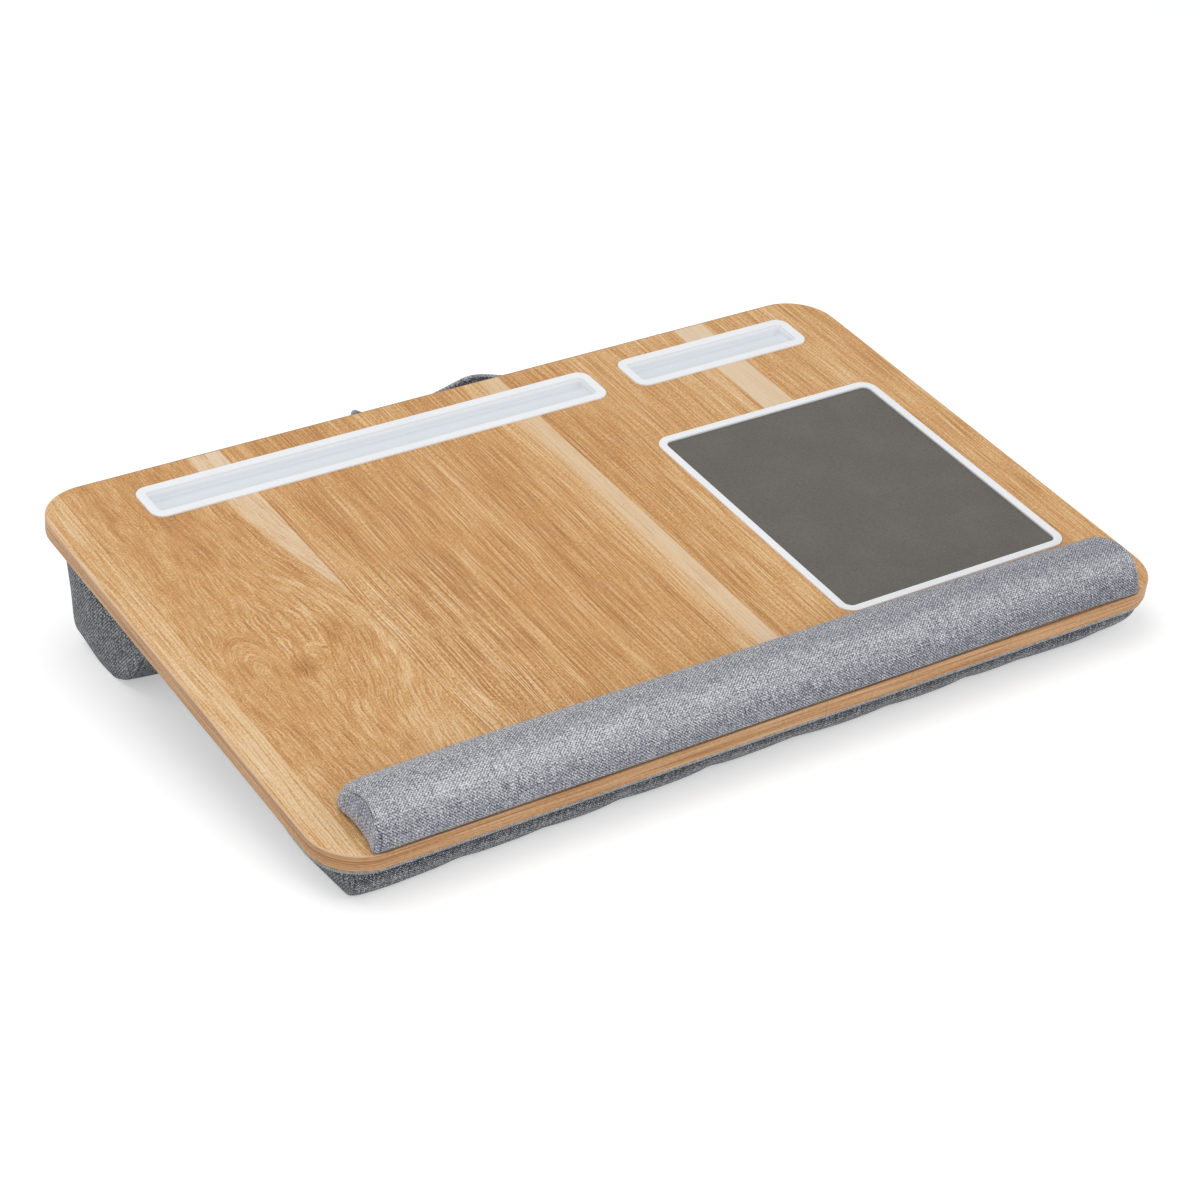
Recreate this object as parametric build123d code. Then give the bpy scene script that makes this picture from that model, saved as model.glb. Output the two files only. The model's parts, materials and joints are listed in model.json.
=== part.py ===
"""Cushioned lap desk: a tilted board with two trays, a mouse pad and a wrist rest, on a two-bolster cushion.

Millimetres. +X is to the user's right, +Y away from the user, +Z up. The origin is on the floor, under the
middle of the whole desk. Pieces of the board are drawn flat in the board's own frame (x, v, w): v runs from
the front edge up the slope, and w is the height over the top surface.
"""
from build123d import *
import math
import os

# ---- Board ----
BOARD_WIDTH = 550.0
BOARD_DEPTH = 360.0
BOARD_CORNER_RADIUS = 30.0
CORE_THICKNESS = 8.8
LAMINATE_THICKNESS = 0.6
BAND_THICKNESS = 1.0
BAND_JOINT_GAP = 0.2
BAND_JOINT_X = 28.0
BAND_EDGE_ROUNDING = 0.5
BOARD_TILT = 8.92
FRONT_EDGE_HEIGHT = 28.5

# ---- White trays, let through the board near its back edge ----
PEN_TRAY_LENGTH = 130.0
TRAY_DEPTH = 32.0
TRAY_LEFT_MARGIN = 56.0
TRAY_RIGHT_MARGIN = 33.0
TRAY_BACK_MARGIN = 18.0
TRAY_SPACING = 22.0
TRAY_RIM_WIDTH = 6.0
TRAY_RIM_HEIGHT = 1.2
TRAY_LIP_ROUNDING = 1.0
TRAY_CORNER_RADIUS = 8.0
TRAY_WALL = 1.5
TRAY_FLOOR = 1.5
TRAY_INNER_DEPTH = 7.2
TRAY_INNER_CORNER_RADIUS = 2.5
TRAY_FLOOR_FILLET = 1.4

# ---- Mouse pad and its frame ----
MOUSE_FRAME_WIDTH = 163.4
MOUSE_FRAME_DEPTH = 197.4
MOUSE_FRAME_RIGHT_MARGIN = 26.7
MOUSE_FRAME_REST_GAP = 7.1
MOUSE_FRAME_RIM_WIDTH = 5.2
MOUSE_FRAME_RIM_HEIGHT = 1.0
MOUSE_FRAME_LIP_ROUNDING = 0.8
MOUSE_FRAME_CORNER_RADIUS = 10.0
MOUSE_FRAME_WALL = 1.4
MOUSE_FRAME_FLOOR = 1.2
MOUSE_PAD_RECESS = 1.3
MOUSE_PAD_THICKNESS = 1.0
MOUSE_FOAM_THICKNESS = 1.5

# ---- Wrist rest ----
REST_SIDE_MARGIN = 23.5
REST_FRONT_MARGIN = 2.0
REST_DEPTH = 50.0
REST_HEIGHT = 20.0
REST_SIDE_LEAN = 2.0
REST_FRONT_HEIGHT = 10.0
REST_BACK_HEIGHT = 6.0
REST_CREST_START = 14.0
REST_CREST_WIDTH = 16.0
REST_FRONT_RADIUS = 11.0
REST_CREST_RADIUS = 20.0
REST_BACK_RADIUS = 4.0
REST_END_RADIUS = 5.0
REST_FABRIC = 0.8
REST_TAPE_THICKNESS = 0.4
REST_TAPE_WIDTH = 34.0
REST_TAPE_END_MARGIN = 10.0
REST_BACKER_THICKNESS = 1.2

# ---- Cushion ----
PIPING_INSET = 1.5
PIPING_WIDTH = 2.6
PIPING_HEIGHT = 2.5
PIPING_ROUNDING = 0.8
PANEL_THICKNESS = 2.0
PANEL_TAPE_WIDTH = 25.0
PANEL_TAPE_SIDE_MARGIN = 35.0
PANEL_TAPE_FRONT_MARGIN = 45.0
PANEL_TAPE_BACK_MARGIN = 80.0
PANEL_TAPE_COUNT = 3
CUSHION_SIDE_MARGIN = 11.0
CUSHION_FABRIC = 1.0
BOLSTER_END_RADIUS = 8.0
FRONT_BOLSTER_START = 3.5
FRONT_BOLSTER_LIP = 1.0
FRONT_BOLSTER_FOOT_LENGTH = 80.0
FRONT_BOLSTER_LENGTH = 130.0
FRONT_BOLSTER_BELLY_RADIUS = 45.0
REAR_BOLSTER_BACK_MARGIN = 22.0
REAR_BOLSTER_LENGTH = 154.0
REAR_BOLSTER_FOOT_LENGTH = 76.0
REAR_BOLSTER_BELLY_RADIUS = 75.0
REAR_BOLSTER_HEEL_RADIUS = 24.0
WEB_THICKNESS = 1.0

# ---- Carry strap ----
STRAP_WIDTH = 25.0
STRAP_THICKNESS = 2.4
STRAP_SPAN = 150.0
STRAP_CROWN_SPAN = 96.0
STRAP_REACH = 39.0
STRAP_BEND_RADIUS = 36.0
STRAP_RISE = 22.0
STRAP_DROP = 17.0
ANCHOR_LENGTH = 28.0
ANCHOR_THICKNESS = 1.8

# ---- Clearances ----
FIT_CLEARANCE = 0.2
SOFT_CLEARANCE = 0.3
HEIGHT_TOLERANCE = 0.001

# ---- Sizes that follow from those above ----
BOARD_THICKNESS = CORE_THICKNESS + 2 * LAMINATE_THICKNESS
SLOPE = math.tan(math.radians(BOARD_TILT))
COS_TILT = math.cos(math.radians(BOARD_TILT))
SIN_TILT = math.sin(math.radians(BOARD_TILT))
TRAY_V = BOARD_DEPTH - TRAY_BACK_MARGIN - TRAY_DEPTH / 2
TABLET_TRAY_LENGTH = BOARD_WIDTH - TRAY_LEFT_MARGIN - TRAY_SPACING - PEN_TRAY_LENGTH - TRAY_RIGHT_MARGIN
TABLET_TRAY_X = -BOARD_WIDTH / 2 + TRAY_LEFT_MARGIN + TABLET_TRAY_LENGTH / 2
PEN_TRAY_X = BOARD_WIDTH / 2 - TRAY_RIGHT_MARGIN - PEN_TRAY_LENGTH / 2
REST_LENGTH = BOARD_WIDTH - 2 * REST_SIDE_MARGIN
REST_BACK = REST_FRONT_MARGIN + REST_DEPTH
REST_V = REST_FRONT_MARGIN + REST_DEPTH / 2
MOUSE_FRAME_X = BOARD_WIDTH / 2 - MOUSE_FRAME_RIGHT_MARGIN - MOUSE_FRAME_WIDTH / 2
MOUSE_FRAME_V = REST_BACK + MOUSE_FRAME_REST_GAP + MOUSE_FRAME_DEPTH / 2
MOUSE_OPENING_WIDTH = MOUSE_FRAME_WIDTH - 2 * MOUSE_FRAME_RIM_WIDTH
MOUSE_OPENING_DEPTH = MOUSE_FRAME_DEPTH - 2 * MOUSE_FRAME_RIM_WIDTH
MOUSE_OPENING_RADIUS = MOUSE_FRAME_CORNER_RADIUS - MOUSE_FRAME_RIM_WIDTH
MOUSE_PAD_TOP = MOUSE_FRAME_RIM_HEIGHT - MOUSE_PAD_RECESS
MOUSE_PAD_BOTTOM = MOUSE_PAD_TOP - MOUSE_PAD_THICKNESS
MOUSE_FLOOR_TOP = MOUSE_PAD_BOTTOM - MOUSE_FOAM_THICKNESS
MOUSE_FRAME_BOTTOM = MOUSE_FLOOR_TOP - MOUSE_FRAME_FLOOR
REST_FILL_BOTTOM = REST_TAPE_THICKNESS + REST_BACKER_THICKNESS
PANEL_BOTTOM = -BOARD_THICKNESS - PIPING_HEIGHT
PANEL_INSET = PIPING_INSET + PIPING_WIDTH + FIT_CLEARANCE
CUSHION_LENGTH = BOARD_WIDTH - 2 * CUSHION_SIDE_MARGIN
FRONT_BOLSTER_END = FRONT_BOLSTER_START + FRONT_BOLSTER_LENGTH
REAR_BOLSTER_END = BOARD_DEPTH - REAR_BOLSTER_BACK_MARGIN
REAR_BOLSTER_START = REAR_BOLSTER_END - REAR_BOLSTER_LENGTH
STRAP_ROOT_Y = REAR_BOLSTER_END + ANCHOR_THICKNESS + SOFT_CLEARANCE
STRAP_AXIS_Y = STRAP_ROOT_Y + STRAP_WIDTH / 2
DESK_FRONT_Y = BAND_EDGE_ROUNDING * (COS_TILT + SIN_TILT - 1)
DESK_BACK_Y = STRAP_ROOT_Y + STRAP_REACH
ORIGIN_Y = (DESK_FRONT_Y + DESK_BACK_Y) / 2
FAR = 2 * (BOARD_WIDTH + BOARD_DEPTH)

BOARD_FRAME = Plane(origin=(0, 0, FRONT_EDGE_HEIGHT), x_dir=(1, 0, 0), z_dir=(0, -SIN_TILT, COS_TILT))


def block(width, depth, low, high, x=0.0, v=0.0, radius=0.0):
    """Upright slab with rounded corners from height low to height high."""
    outline = RectangleRounded(width, depth, radius) if radius else Rectangle(width, depth)
    return Pos(x, v, low) * extrude(outline, amount=high - low)


def board_slab(low, high, inset):
    """Slab with the board's own outline, taken in by inset."""
    width = BOARD_WIDTH - 2 * inset
    depth = BOARD_DEPTH - 2 * inset
    return block(width, depth, low, high, v=BOARD_DEPTH / 2, radius=BOARD_CORNER_RADIUS - inset)


def edges_at(solid, height):
    """Edges that lie flat at a given height."""
    return [edge for edge in solid.edges() if abs(edge.center().Z - height) < HEIGHT_TOLERANCE]


def mouth_edges(solid, height, length, depth):
    """Edges at a height round a centred hollow of the given length and depth."""
    half_length = length / 2 + HEIGHT_TOLERANCE
    half_depth = depth / 2 + HEIGHT_TOLERANCE
    centres = [(edge, edge.center()) for edge in edges_at(solid, height)]
    return [edge for edge, at in centres if abs(at.X) < half_length and abs(at.Y) < half_depth]


def underside(y):
    """Height over the floor of the cushion panel's lower face, at a distance y behind the front edge."""
    return FRONT_EDGE_HEIGHT + PANEL_BOTTOM / COS_TILT + SLOPE * y


def along_panel(y):
    """Distance v up the slope of the point of the panel's lower face that lies y behind the front edge."""
    return (y + PANEL_BOTTOM * SIN_TILT) / COS_TILT


def stuffed_bar(section, inset, length, near, far, low, high, end_radius):
    """Bar along X of the given YZ section, with ends rounded in plan and seen from the front.

    Every surface is taken in by inset, so that a fabric shell and its filling nest in one another.
    """
    taken_in = offset(section, amount=-inset) if inset else section
    bar = extrude(Plane.YZ * taken_in, amount=length / 2 - inset, both=True)
    radius = end_radius - inset
    plan = RectangleRounded(length - 2 * inset, far - near - 2 * inset, radius)
    front = RectangleRounded(length - 2 * inset, high - low - 2 * inset, radius)
    plan_bar = extrude(Pos(0, (near + far) / 2) * plan, amount=FAR, both=True)
    front_bar = extrude(Plane.XZ * Pos(0, (low + high) / 2) * front, amount=FAR, both=True)
    return bar & plan_bar & front_bar


# ---- Board ----
def tray_slot(length, x):
    """Through slot that takes a tray's tub."""
    overlap = TRAY_RIM_WIDTH - TRAY_WALL - FIT_CLEARANCE
    radius = TRAY_INNER_CORNER_RADIUS + TRAY_WALL + FIT_CLEARANCE
    return block(length - 2 * overlap, TRAY_DEPTH - 2 * overlap, -FAR, FAR, x=x, v=TRAY_V, radius=radius)


def mouse_pocket():
    """Pocket that takes the tub of the mouse pad's frame, open at the top."""
    wall = MOUSE_FRAME_WALL + FIT_CLEARANCE
    width = MOUSE_OPENING_WIDTH + 2 * wall
    depth = MOUSE_OPENING_DEPTH + 2 * wall
    bottom = MOUSE_FRAME_BOTTOM - FIT_CLEARANCE
    radius = MOUSE_OPENING_RADIUS + wall
    return block(width, depth, bottom, FAR, x=MOUSE_FRAME_X, v=MOUSE_FRAME_V, radius=radius)


def board_layer(low, high):
    """One layer of the board inside its edge band, with every opening that the fittings need."""
    layer = board_slab(low, high, BAND_THICKNESS)
    layer -= tray_slot(TABLET_TRAY_LENGTH, TABLET_TRAY_X)
    layer -= tray_slot(PEN_TRAY_LENGTH, PEN_TRAY_X)
    return layer - mouse_pocket()


def edge_band():
    """Strip glued round the edge of the board, whose two ends meet on the front edge."""
    outside = board_slab(-BOARD_THICKNESS, 0, 0)
    rims = edges_at(outside, 0) + edges_at(outside, -BOARD_THICKNESS)
    outside = fillet(rims, BAND_EDGE_ROUNDING)
    band = outside - board_slab(-BOARD_THICKNESS, 0, BAND_THICKNESS)
    joint = block(BAND_JOINT_GAP, BOARD_DEPTH, -BOARD_THICKNESS, 0, x=BAND_JOINT_X)
    return band - joint


# ---- Fittings let into the board ----
def tray(length, x):
    """Moulded tray: a rim that lies on the board and a tub that hangs in its slot."""
    inner_length = length - 2 * TRAY_RIM_WIDTH
    inner_depth = TRAY_DEPTH - 2 * TRAY_RIM_WIDTH
    tub_radius = TRAY_INNER_CORNER_RADIUS + TRAY_WALL
    floor_top = TRAY_RIM_HEIGHT - TRAY_INNER_DEPTH
    rim = block(length, TRAY_DEPTH, 0, TRAY_RIM_HEIGHT, radius=TRAY_CORNER_RADIUS)
    rim = fillet(edges_at(rim, TRAY_RIM_HEIGHT), TRAY_RIM_HEIGHT / 2)
    tub_length = inner_length + 2 * TRAY_WALL
    tub = block(tub_length, inner_depth + 2 * TRAY_WALL, floor_top - TRAY_FLOOR, 0, radius=tub_radius)
    hollow = block(inner_length, inner_depth, floor_top, FAR, radius=TRAY_INNER_CORNER_RADIUS)
    hollow = fillet(edges_at(hollow, floor_top), TRAY_FLOOR_FILLET)
    body = rim + tub - hollow
    lip = mouth_edges(body, TRAY_RIM_HEIGHT, inner_length, inner_depth)
    return Pos(x, TRAY_V, 0) * fillet(lip, TRAY_LIP_ROUNDING)


def mouse_pad_frame():
    """Moulded frame of the mouse pad: a rim on the board and a shallow tub in its pocket."""
    rim_top = MOUSE_FRAME_RIM_HEIGHT
    tub_width = MOUSE_OPENING_WIDTH + 2 * MOUSE_FRAME_WALL
    tub_depth = MOUSE_OPENING_DEPTH + 2 * MOUSE_FRAME_WALL
    tub_radius = MOUSE_OPENING_RADIUS + MOUSE_FRAME_WALL
    rim = block(MOUSE_FRAME_WIDTH, MOUSE_FRAME_DEPTH, 0, rim_top, radius=MOUSE_FRAME_CORNER_RADIUS)
    rim = fillet(edges_at(rim, rim_top), rim_top / 2)
    tub = block(tub_width, tub_depth, MOUSE_FRAME_BOTTOM, 0, radius=tub_radius)
    opening = (MOUSE_OPENING_WIDTH, MOUSE_OPENING_DEPTH)
    hollow = block(*opening, MOUSE_FLOOR_TOP, FAR, radius=MOUSE_OPENING_RADIUS)
    body = rim + tub - hollow
    lip = mouth_edges(body, rim_top, *opening)
    return Pos(MOUSE_FRAME_X, MOUSE_FRAME_V, 0) * fillet(lip, MOUSE_FRAME_LIP_ROUNDING)


def mouse_sheet(low, high):
    """Sheet that fills the opening of the mouse pad's frame between two heights."""
    width = MOUSE_OPENING_WIDTH - 2 * FIT_CLEARANCE
    depth = MOUSE_OPENING_DEPTH - 2 * FIT_CLEARANCE
    radius = MOUSE_OPENING_RADIUS - FIT_CLEARANCE
    return block(width, depth, low, high, x=MOUSE_FRAME_X, v=MOUSE_FRAME_V, radius=radius)


# ---- Wrist rest, drawn on the board ----
def rest_body(inset):
    """Bulk of the wrist rest, steep at the front and falling away to the back."""
    front = REST_FRONT_MARGIN
    back = REST_BACK
    crest = front + REST_CREST_START
    points = [
        (front + REST_SIDE_LEAN, 0),
        (front, REST_FRONT_HEIGHT),
        (crest, REST_HEIGHT),
        (crest + REST_CREST_WIDTH, REST_HEIGHT),
        (back, REST_BACK_HEIGHT),
        (back - REST_SIDE_LEAN, 0),
    ]
    radii = [0, REST_FRONT_RADIUS, REST_CREST_RADIUS, REST_CREST_RADIUS, REST_BACK_RADIUS, 0]
    section = make_face(FilletPolyline(*points, radius=radii, close=True))
    return stuffed_bar(section, inset, REST_LENGTH, front, back, -REST_HEIGHT, REST_HEIGHT, REST_END_RADIUS)


def rest_mouth(inset, low, high):
    """Slab that fills the opening in the underside of the wrist rest's cover."""
    lip = REST_SIDE_LEAN + REST_FABRIC + inset
    length = REST_LENGTH - 2 * (REST_END_RADIUS + inset)
    return block(length, REST_DEPTH - 2 * lip, low, high, v=REST_V, radius=REST_END_RADIUS)


def wrist_rest_cover():
    """Fabric sleeve of the wrist rest, turned in under its edges."""
    return rest_body(0) - rest_body(REST_FABRIC) - rest_mouth(0, -REST_FABRIC, REST_FABRIC)


def wrist_rest_foam():
    """Foam in the wrist rest, on top of its backer."""
    return rest_body(REST_FABRIC + FIT_CLEARANCE) & block(FAR, FAR, REST_FILL_BOTTOM, FAR)


def wrist_rest_tape():
    """Double-sided tape between the backer and the board."""
    length = REST_LENGTH - 2 * REST_TAPE_END_MARGIN
    return block(length, REST_TAPE_WIDTH, 0, REST_TAPE_THICKNESS, v=REST_V)


# ---- Cushion ----
def cushion_piping():
    """Covered cord round the top seam of the cushion, under the edge of the board."""
    top = -BOARD_THICKNESS
    ring = board_slab(PANEL_BOTTOM, top, PIPING_INSET)
    ring -= board_slab(PANEL_BOTTOM, top, PIPING_INSET + PIPING_WIDTH)
    return fillet(edges_at(ring, top) + edges_at(ring, PANEL_BOTTOM), PIPING_ROUNDING)


def panel_tapes():
    """Strips of double-sided tape between the cushion's panel and the board."""
    first = PANEL_TAPE_FRONT_MARGIN
    spacing = (BOARD_DEPTH - PANEL_TAPE_BACK_MARGIN - first) / (PANEL_TAPE_COUNT - 1)
    length = BOARD_WIDTH - 2 * PANEL_TAPE_SIDE_MARGIN
    low = PANEL_BOTTOM + PANEL_THICKNESS
    strip = block(length, PANEL_TAPE_WIDTH, low, -BOARD_THICKNESS)
    return Compound(children=[Pos(0, first + i * spacing, 0) * strip for i in range(PANEL_TAPE_COUNT)])


def front_bolster(inset):
    """Low bolster under the front edge: a round toe, a flat foot and a belly that rises to the panel."""
    near, far = FRONT_BOLSTER_START, FRONT_BOLSTER_END
    foot_end = near + FRONT_BOLSTER_FOOT_LENGTH
    points = [(near, underside(near)), (near, 0), (foot_end, 0), (far, underside(far))]
    toe_radius = underside(near) - FRONT_BOLSTER_LIP
    section = make_face(FilletPolyline(*points, radius=[0, toe_radius, FRONT_BOLSTER_BELLY_RADIUS, 0], close=True))
    return stuffed_bar(section, inset, CUSHION_LENGTH, near, far, 0, FAR, BOLSTER_END_RADIUS)


def rear_bolster(inset):
    """High bolster under the back half: a sloping belly, a flat foot and an upright boxing behind."""
    points = [
        (REAR_BOLSTER_START, underside(REAR_BOLSTER_START)),
        (REAR_BOLSTER_END - REAR_BOLSTER_FOOT_LENGTH, 0),
        (REAR_BOLSTER_END, 0),
        (REAR_BOLSTER_END, underside(REAR_BOLSTER_END)),
    ]
    radii = [0, REAR_BOLSTER_BELLY_RADIUS, REAR_BOLSTER_HEEL_RADIUS, 0]
    section = make_face(FilletPolyline(*points, radius=radii, close=True))
    near, far = REAR_BOLSTER_START, REAR_BOLSTER_END
    return stuffed_bar(section, inset, CUSHION_LENGTH, near, far, 0, FAR, BOLSTER_END_RADIUS)


def cover_of(bolster):
    """Fabric shell of a bolster."""
    return bolster(0) - bolster(CUSHION_FABRIC)


def fill_of(bolster):
    """Stuffing of a bolster."""
    return bolster(CUSHION_FABRIC + FIT_CLEARANCE)


def cushion_web():
    """Fabric between the two bolsters, under the panel."""
    near = along_panel(FRONT_BOLSTER_END) + SOFT_CLEARANCE
    far = along_panel(REAR_BOLSTER_START) - SOFT_CLEARANCE
    bottom = PANEL_BOTTOM - WEB_THICKNESS
    return block(CUSHION_LENGTH, far - near, bottom, PANEL_BOTTOM, v=(near + far) / 2)


# ---- Carry strap ----
def strap_height():
    """Height over the floor of the strap's middle line at its roots."""
    return underside(REAR_BOLSTER_END) - STRAP_DROP


def strap_anchor(side):
    """End of the carry strap, sewn flat on the back of the rear bolster on one side."""
    middle = Pos(side * STRAP_SPAN / 2, REAR_BOLSTER_END, strap_height())
    against_back = (Align.CENTER, Align.MIN, Align.CENTER)
    return middle * Box(ANCHOR_LENGTH, ANCHOR_THICKNESS, STRAP_WIDTH, align=against_back)


def strap_plan():
    """Bowed band of the strap seen from above, from root to root."""
    tail = STRAP_WIDTH / 2
    splay = (STRAP_SPAN - STRAP_CROWN_SPAN) / (2 * STRAP_REACH)
    half_tail = STRAP_SPAN / 2 + splay * tail
    points = [
        (-half_tail, STRAP_ROOT_Y - tail),
        (-STRAP_CROWN_SPAN / 2, DESK_BACK_Y),
        (STRAP_CROWN_SPAN / 2, DESK_BACK_Y),
        (half_tail, STRAP_ROOT_Y - tail),
    ]
    radii = [0, STRAP_BEND_RADIUS, STRAP_BEND_RADIUS, 0]
    outside = make_face(FilletPolyline(*points, radius=radii, close=True))
    return outside - offset(outside, amount=-STRAP_THICKNESS)


def carry_strap():
    """Strap that bows out behind the cushion and rises away from it, with round root ends."""
    band = extrude(strap_plan(), amount=FAR, both=True)
    hinge = Pos(0, STRAP_AXIS_Y, strap_height())
    lie = hinge * Rot(STRAP_RISE, 0, 0) * Box(FAR, FAR, STRAP_WIDTH * math.cos(math.radians(STRAP_RISE)))
    root_end = hinge * Rot(0, 90, 0) * Cylinder(STRAP_WIDTH / 2, FAR)
    beyond_axis = hinge * Box(FAR, FAR, FAR, align=(Align.CENTER, Align.MIN, Align.CENTER))
    return band & lie & (root_end + beyond_axis)


ON_BOARD = {
    "board_core": board_layer(LAMINATE_THICKNESS - BOARD_THICKNESS, -LAMINATE_THICKNESS),
    "oak_laminate": board_layer(-LAMINATE_THICKNESS, 0),
    "backing_laminate": board_layer(-BOARD_THICKNESS, LAMINATE_THICKNESS - BOARD_THICKNESS),
    "edge_band": edge_band(),
    "tablet_tray": tray(TABLET_TRAY_LENGTH, TABLET_TRAY_X),
    "pen_tray": tray(PEN_TRAY_LENGTH, PEN_TRAY_X),
    "mouse_pad_frame": mouse_pad_frame(),
    "mouse_pad_foam": mouse_sheet(MOUSE_FLOOR_TOP, MOUSE_PAD_BOTTOM),
    "mouse_pad": mouse_sheet(MOUSE_PAD_BOTTOM, MOUSE_PAD_TOP),
    "wrist_rest_tape": wrist_rest_tape(),
    "wrist_rest_backer": rest_mouth(FIT_CLEARANCE, REST_TAPE_THICKNESS, REST_FILL_BOTTOM),
    "wrist_rest_foam": wrist_rest_foam(),
    "wrist_rest_cover": wrist_rest_cover(),
    "panel_tapes": panel_tapes(),
    "cushion_panel": board_slab(PANEL_BOTTOM, PANEL_BOTTOM + PANEL_THICKNESS, PANEL_INSET),
    "cushion_piping": cushion_piping(),
    "cushion_web": cushion_web(),
}
ON_FLOOR = {
    "front_bolster_cover": cover_of(front_bolster),
    "front_bolster_fill": fill_of(front_bolster),
    "rear_bolster_cover": cover_of(rear_bolster),
    "rear_bolster_fill": fill_of(rear_bolster),
    "strap_anchor_left": strap_anchor(-1),
    "strap_anchor_right": strap_anchor(1),
    "carry_strap": carry_strap(),
}

to_origin = Pos(0, -ORIGIN_Y, 0)
os.makedirs("parts", exist_ok=True)
for node, shape in ON_BOARD.items():
    export_step(to_origin * BOARD_FRAME.location * shape, f"parts/{node}.step")
for node, shape in ON_FLOOR.items():
    export_step(to_origin * shape, f"parts/{node}.step")
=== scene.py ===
"""Looks of the cushioned lap desk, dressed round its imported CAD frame.

Row frame, metres, +Z up. Board measures are millimetres from the board's front left corner: x to the
right, v up the slope and w out of the top. Cushion measures are millimetres too: x and y from the same
corner, z over the floor.
"""
import json
import math

import bmesh
import bpy
import numpy as np
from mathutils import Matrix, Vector


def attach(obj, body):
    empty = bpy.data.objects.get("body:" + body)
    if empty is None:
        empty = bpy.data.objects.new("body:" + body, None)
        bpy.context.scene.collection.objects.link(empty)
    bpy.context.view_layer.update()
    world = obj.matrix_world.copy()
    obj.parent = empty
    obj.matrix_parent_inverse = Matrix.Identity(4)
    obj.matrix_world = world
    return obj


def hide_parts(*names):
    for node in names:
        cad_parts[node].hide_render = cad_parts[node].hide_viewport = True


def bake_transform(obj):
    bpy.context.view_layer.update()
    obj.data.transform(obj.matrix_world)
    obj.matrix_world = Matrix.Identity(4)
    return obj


MM = 0.001

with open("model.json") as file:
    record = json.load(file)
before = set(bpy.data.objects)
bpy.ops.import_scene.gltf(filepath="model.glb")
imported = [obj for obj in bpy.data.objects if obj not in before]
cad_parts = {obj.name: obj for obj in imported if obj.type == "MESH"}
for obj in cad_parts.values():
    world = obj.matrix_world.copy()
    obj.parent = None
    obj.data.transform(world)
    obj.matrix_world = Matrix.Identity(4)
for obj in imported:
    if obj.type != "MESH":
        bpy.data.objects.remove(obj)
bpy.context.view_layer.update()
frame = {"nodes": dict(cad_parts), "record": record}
NODES = frame["nodes"]


# ---- Frames of the board and of the cushion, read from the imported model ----
def mount_axis(name):
    """Axis of one of the record's mounts."""
    return np.array(next(m["axis"] for m in frame["record"]["mounts"] if m["name"] == name), float)


def vertices_of(node):
    """Corners of a CAD node, one row each."""
    return np.array([v.co for v in NODES[node].data.vertices], float)


BOARD_UP = mount_axis("tablet_tray_floor")
BOARD_RIGHT = np.array([1.0, 0.0, 0.0])
BOARD_BACK = np.cross(BOARD_UP, BOARD_RIGHT)
BAND = vertices_of("edge_band")
BOARD_CORNER = (
    BOARD_RIGHT * BAND[:, 0].min()
    + BOARD_BACK * (BAND @ BOARD_BACK).min()
    + BOARD_UP * (BAND @ BOARD_UP).max()
)
BOARD_TILT = math.atan2(-BOARD_UP[1], BOARD_UP[2])
BOARD_AXES = np.stack([BOARD_RIGHT, BOARD_BACK, BOARD_UP])
BOARD_WIDTH = np.ptp(BAND @ BOARD_RIGHT) / MM
BOARD_DEPTH = np.ptp(BAND @ BOARD_BACK) / MM
FLOOR_CORNER = np.array([BOARD_CORNER[0], BOARD_CORNER[1], 0.0])


def lowest(node):
    """Place w of a CAD node's lowest corner."""
    return (vertices_of(node) @ BOARD_UP).min() / MM - BOARD_CORNER @ BOARD_UP / MM


BOARD_BOTTOM = lowest("backing_laminate")
PANEL_BOTTOM = lowest("cushion_panel")
COVER = vertices_of("rear_bolster_cover")
CUSHION_LEFT = (COVER[:, 0].min() - BOARD_CORNER[0]) / MM
CUSHION_RIGHT = (COVER[:, 0].max() - BOARD_CORNER[0]) / MM


def on_board(points):
    """Row frame places of points given in board measures."""
    return BOARD_CORNER + MM * np.asarray(points, float) @ BOARD_AXES


def over_floor(points):
    """Row frame places of points given in cushion measures."""
    return FLOOR_CORNER + MM * np.asarray(points, float)


# ---- Camera, light and floor ----
CAMERA_PLACE = (-0.848, -1.3041, 0.8501)
CAMERA_YAW = 33.2
CAMERA_PITCH = 28.28
CAMERA_LENS = 90.93
CAMERA_SENSOR = 36.0
# Lamps: name, place, side and power. All of them point at one place.
LAMPS = (
    ("overhead", (-0.3, 0.5, 1.9), 1.8, 15.0),
    ("front_fill", (0.5, -2.0, 1.0), 1.6, 14.0),
    ("left_fill", (-2.0, -0.4, 0.9), 1.4, 4.0),
)
LAMP_AIM = (0, 0, 0.05)
WORLD_COLOUR = (0.985, 0.99, 1.0, 1)
WORLD_STRENGTH = 0.5
FLOOR_SIZE = 60.0
FLOOR_GLOW = 0.42
FLOOR_ALBEDO = 0.8


def make_camera():
    """Camera at the photograph's place and angle."""
    data = bpy.data.cameras.new("camera")
    data.lens = CAMERA_LENS
    data.sensor_width = CAMERA_SENSOR
    camera = bpy.data.objects.new("camera", data)
    camera.location = CAMERA_PLACE
    camera.rotation_euler = (math.radians(90 - CAMERA_PITCH), 0, -math.radians(CAMERA_YAW))
    bpy.context.scene.collection.objects.link(camera)
    bpy.context.scene.camera = camera


def area_lamp(name, place, size, power):
    """Square soft lamp."""
    data = bpy.data.lights.new(name, "AREA")
    data.size = size
    data.energy = power
    lamp = bpy.data.objects.new(name, data)
    lamp.location = place
    lamp.rotation_euler = (Vector(LAMP_AIM) - Vector(place)).to_track_quat("-Z", "Y").to_euler()
    bpy.context.scene.collection.objects.link(lamp)


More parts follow.
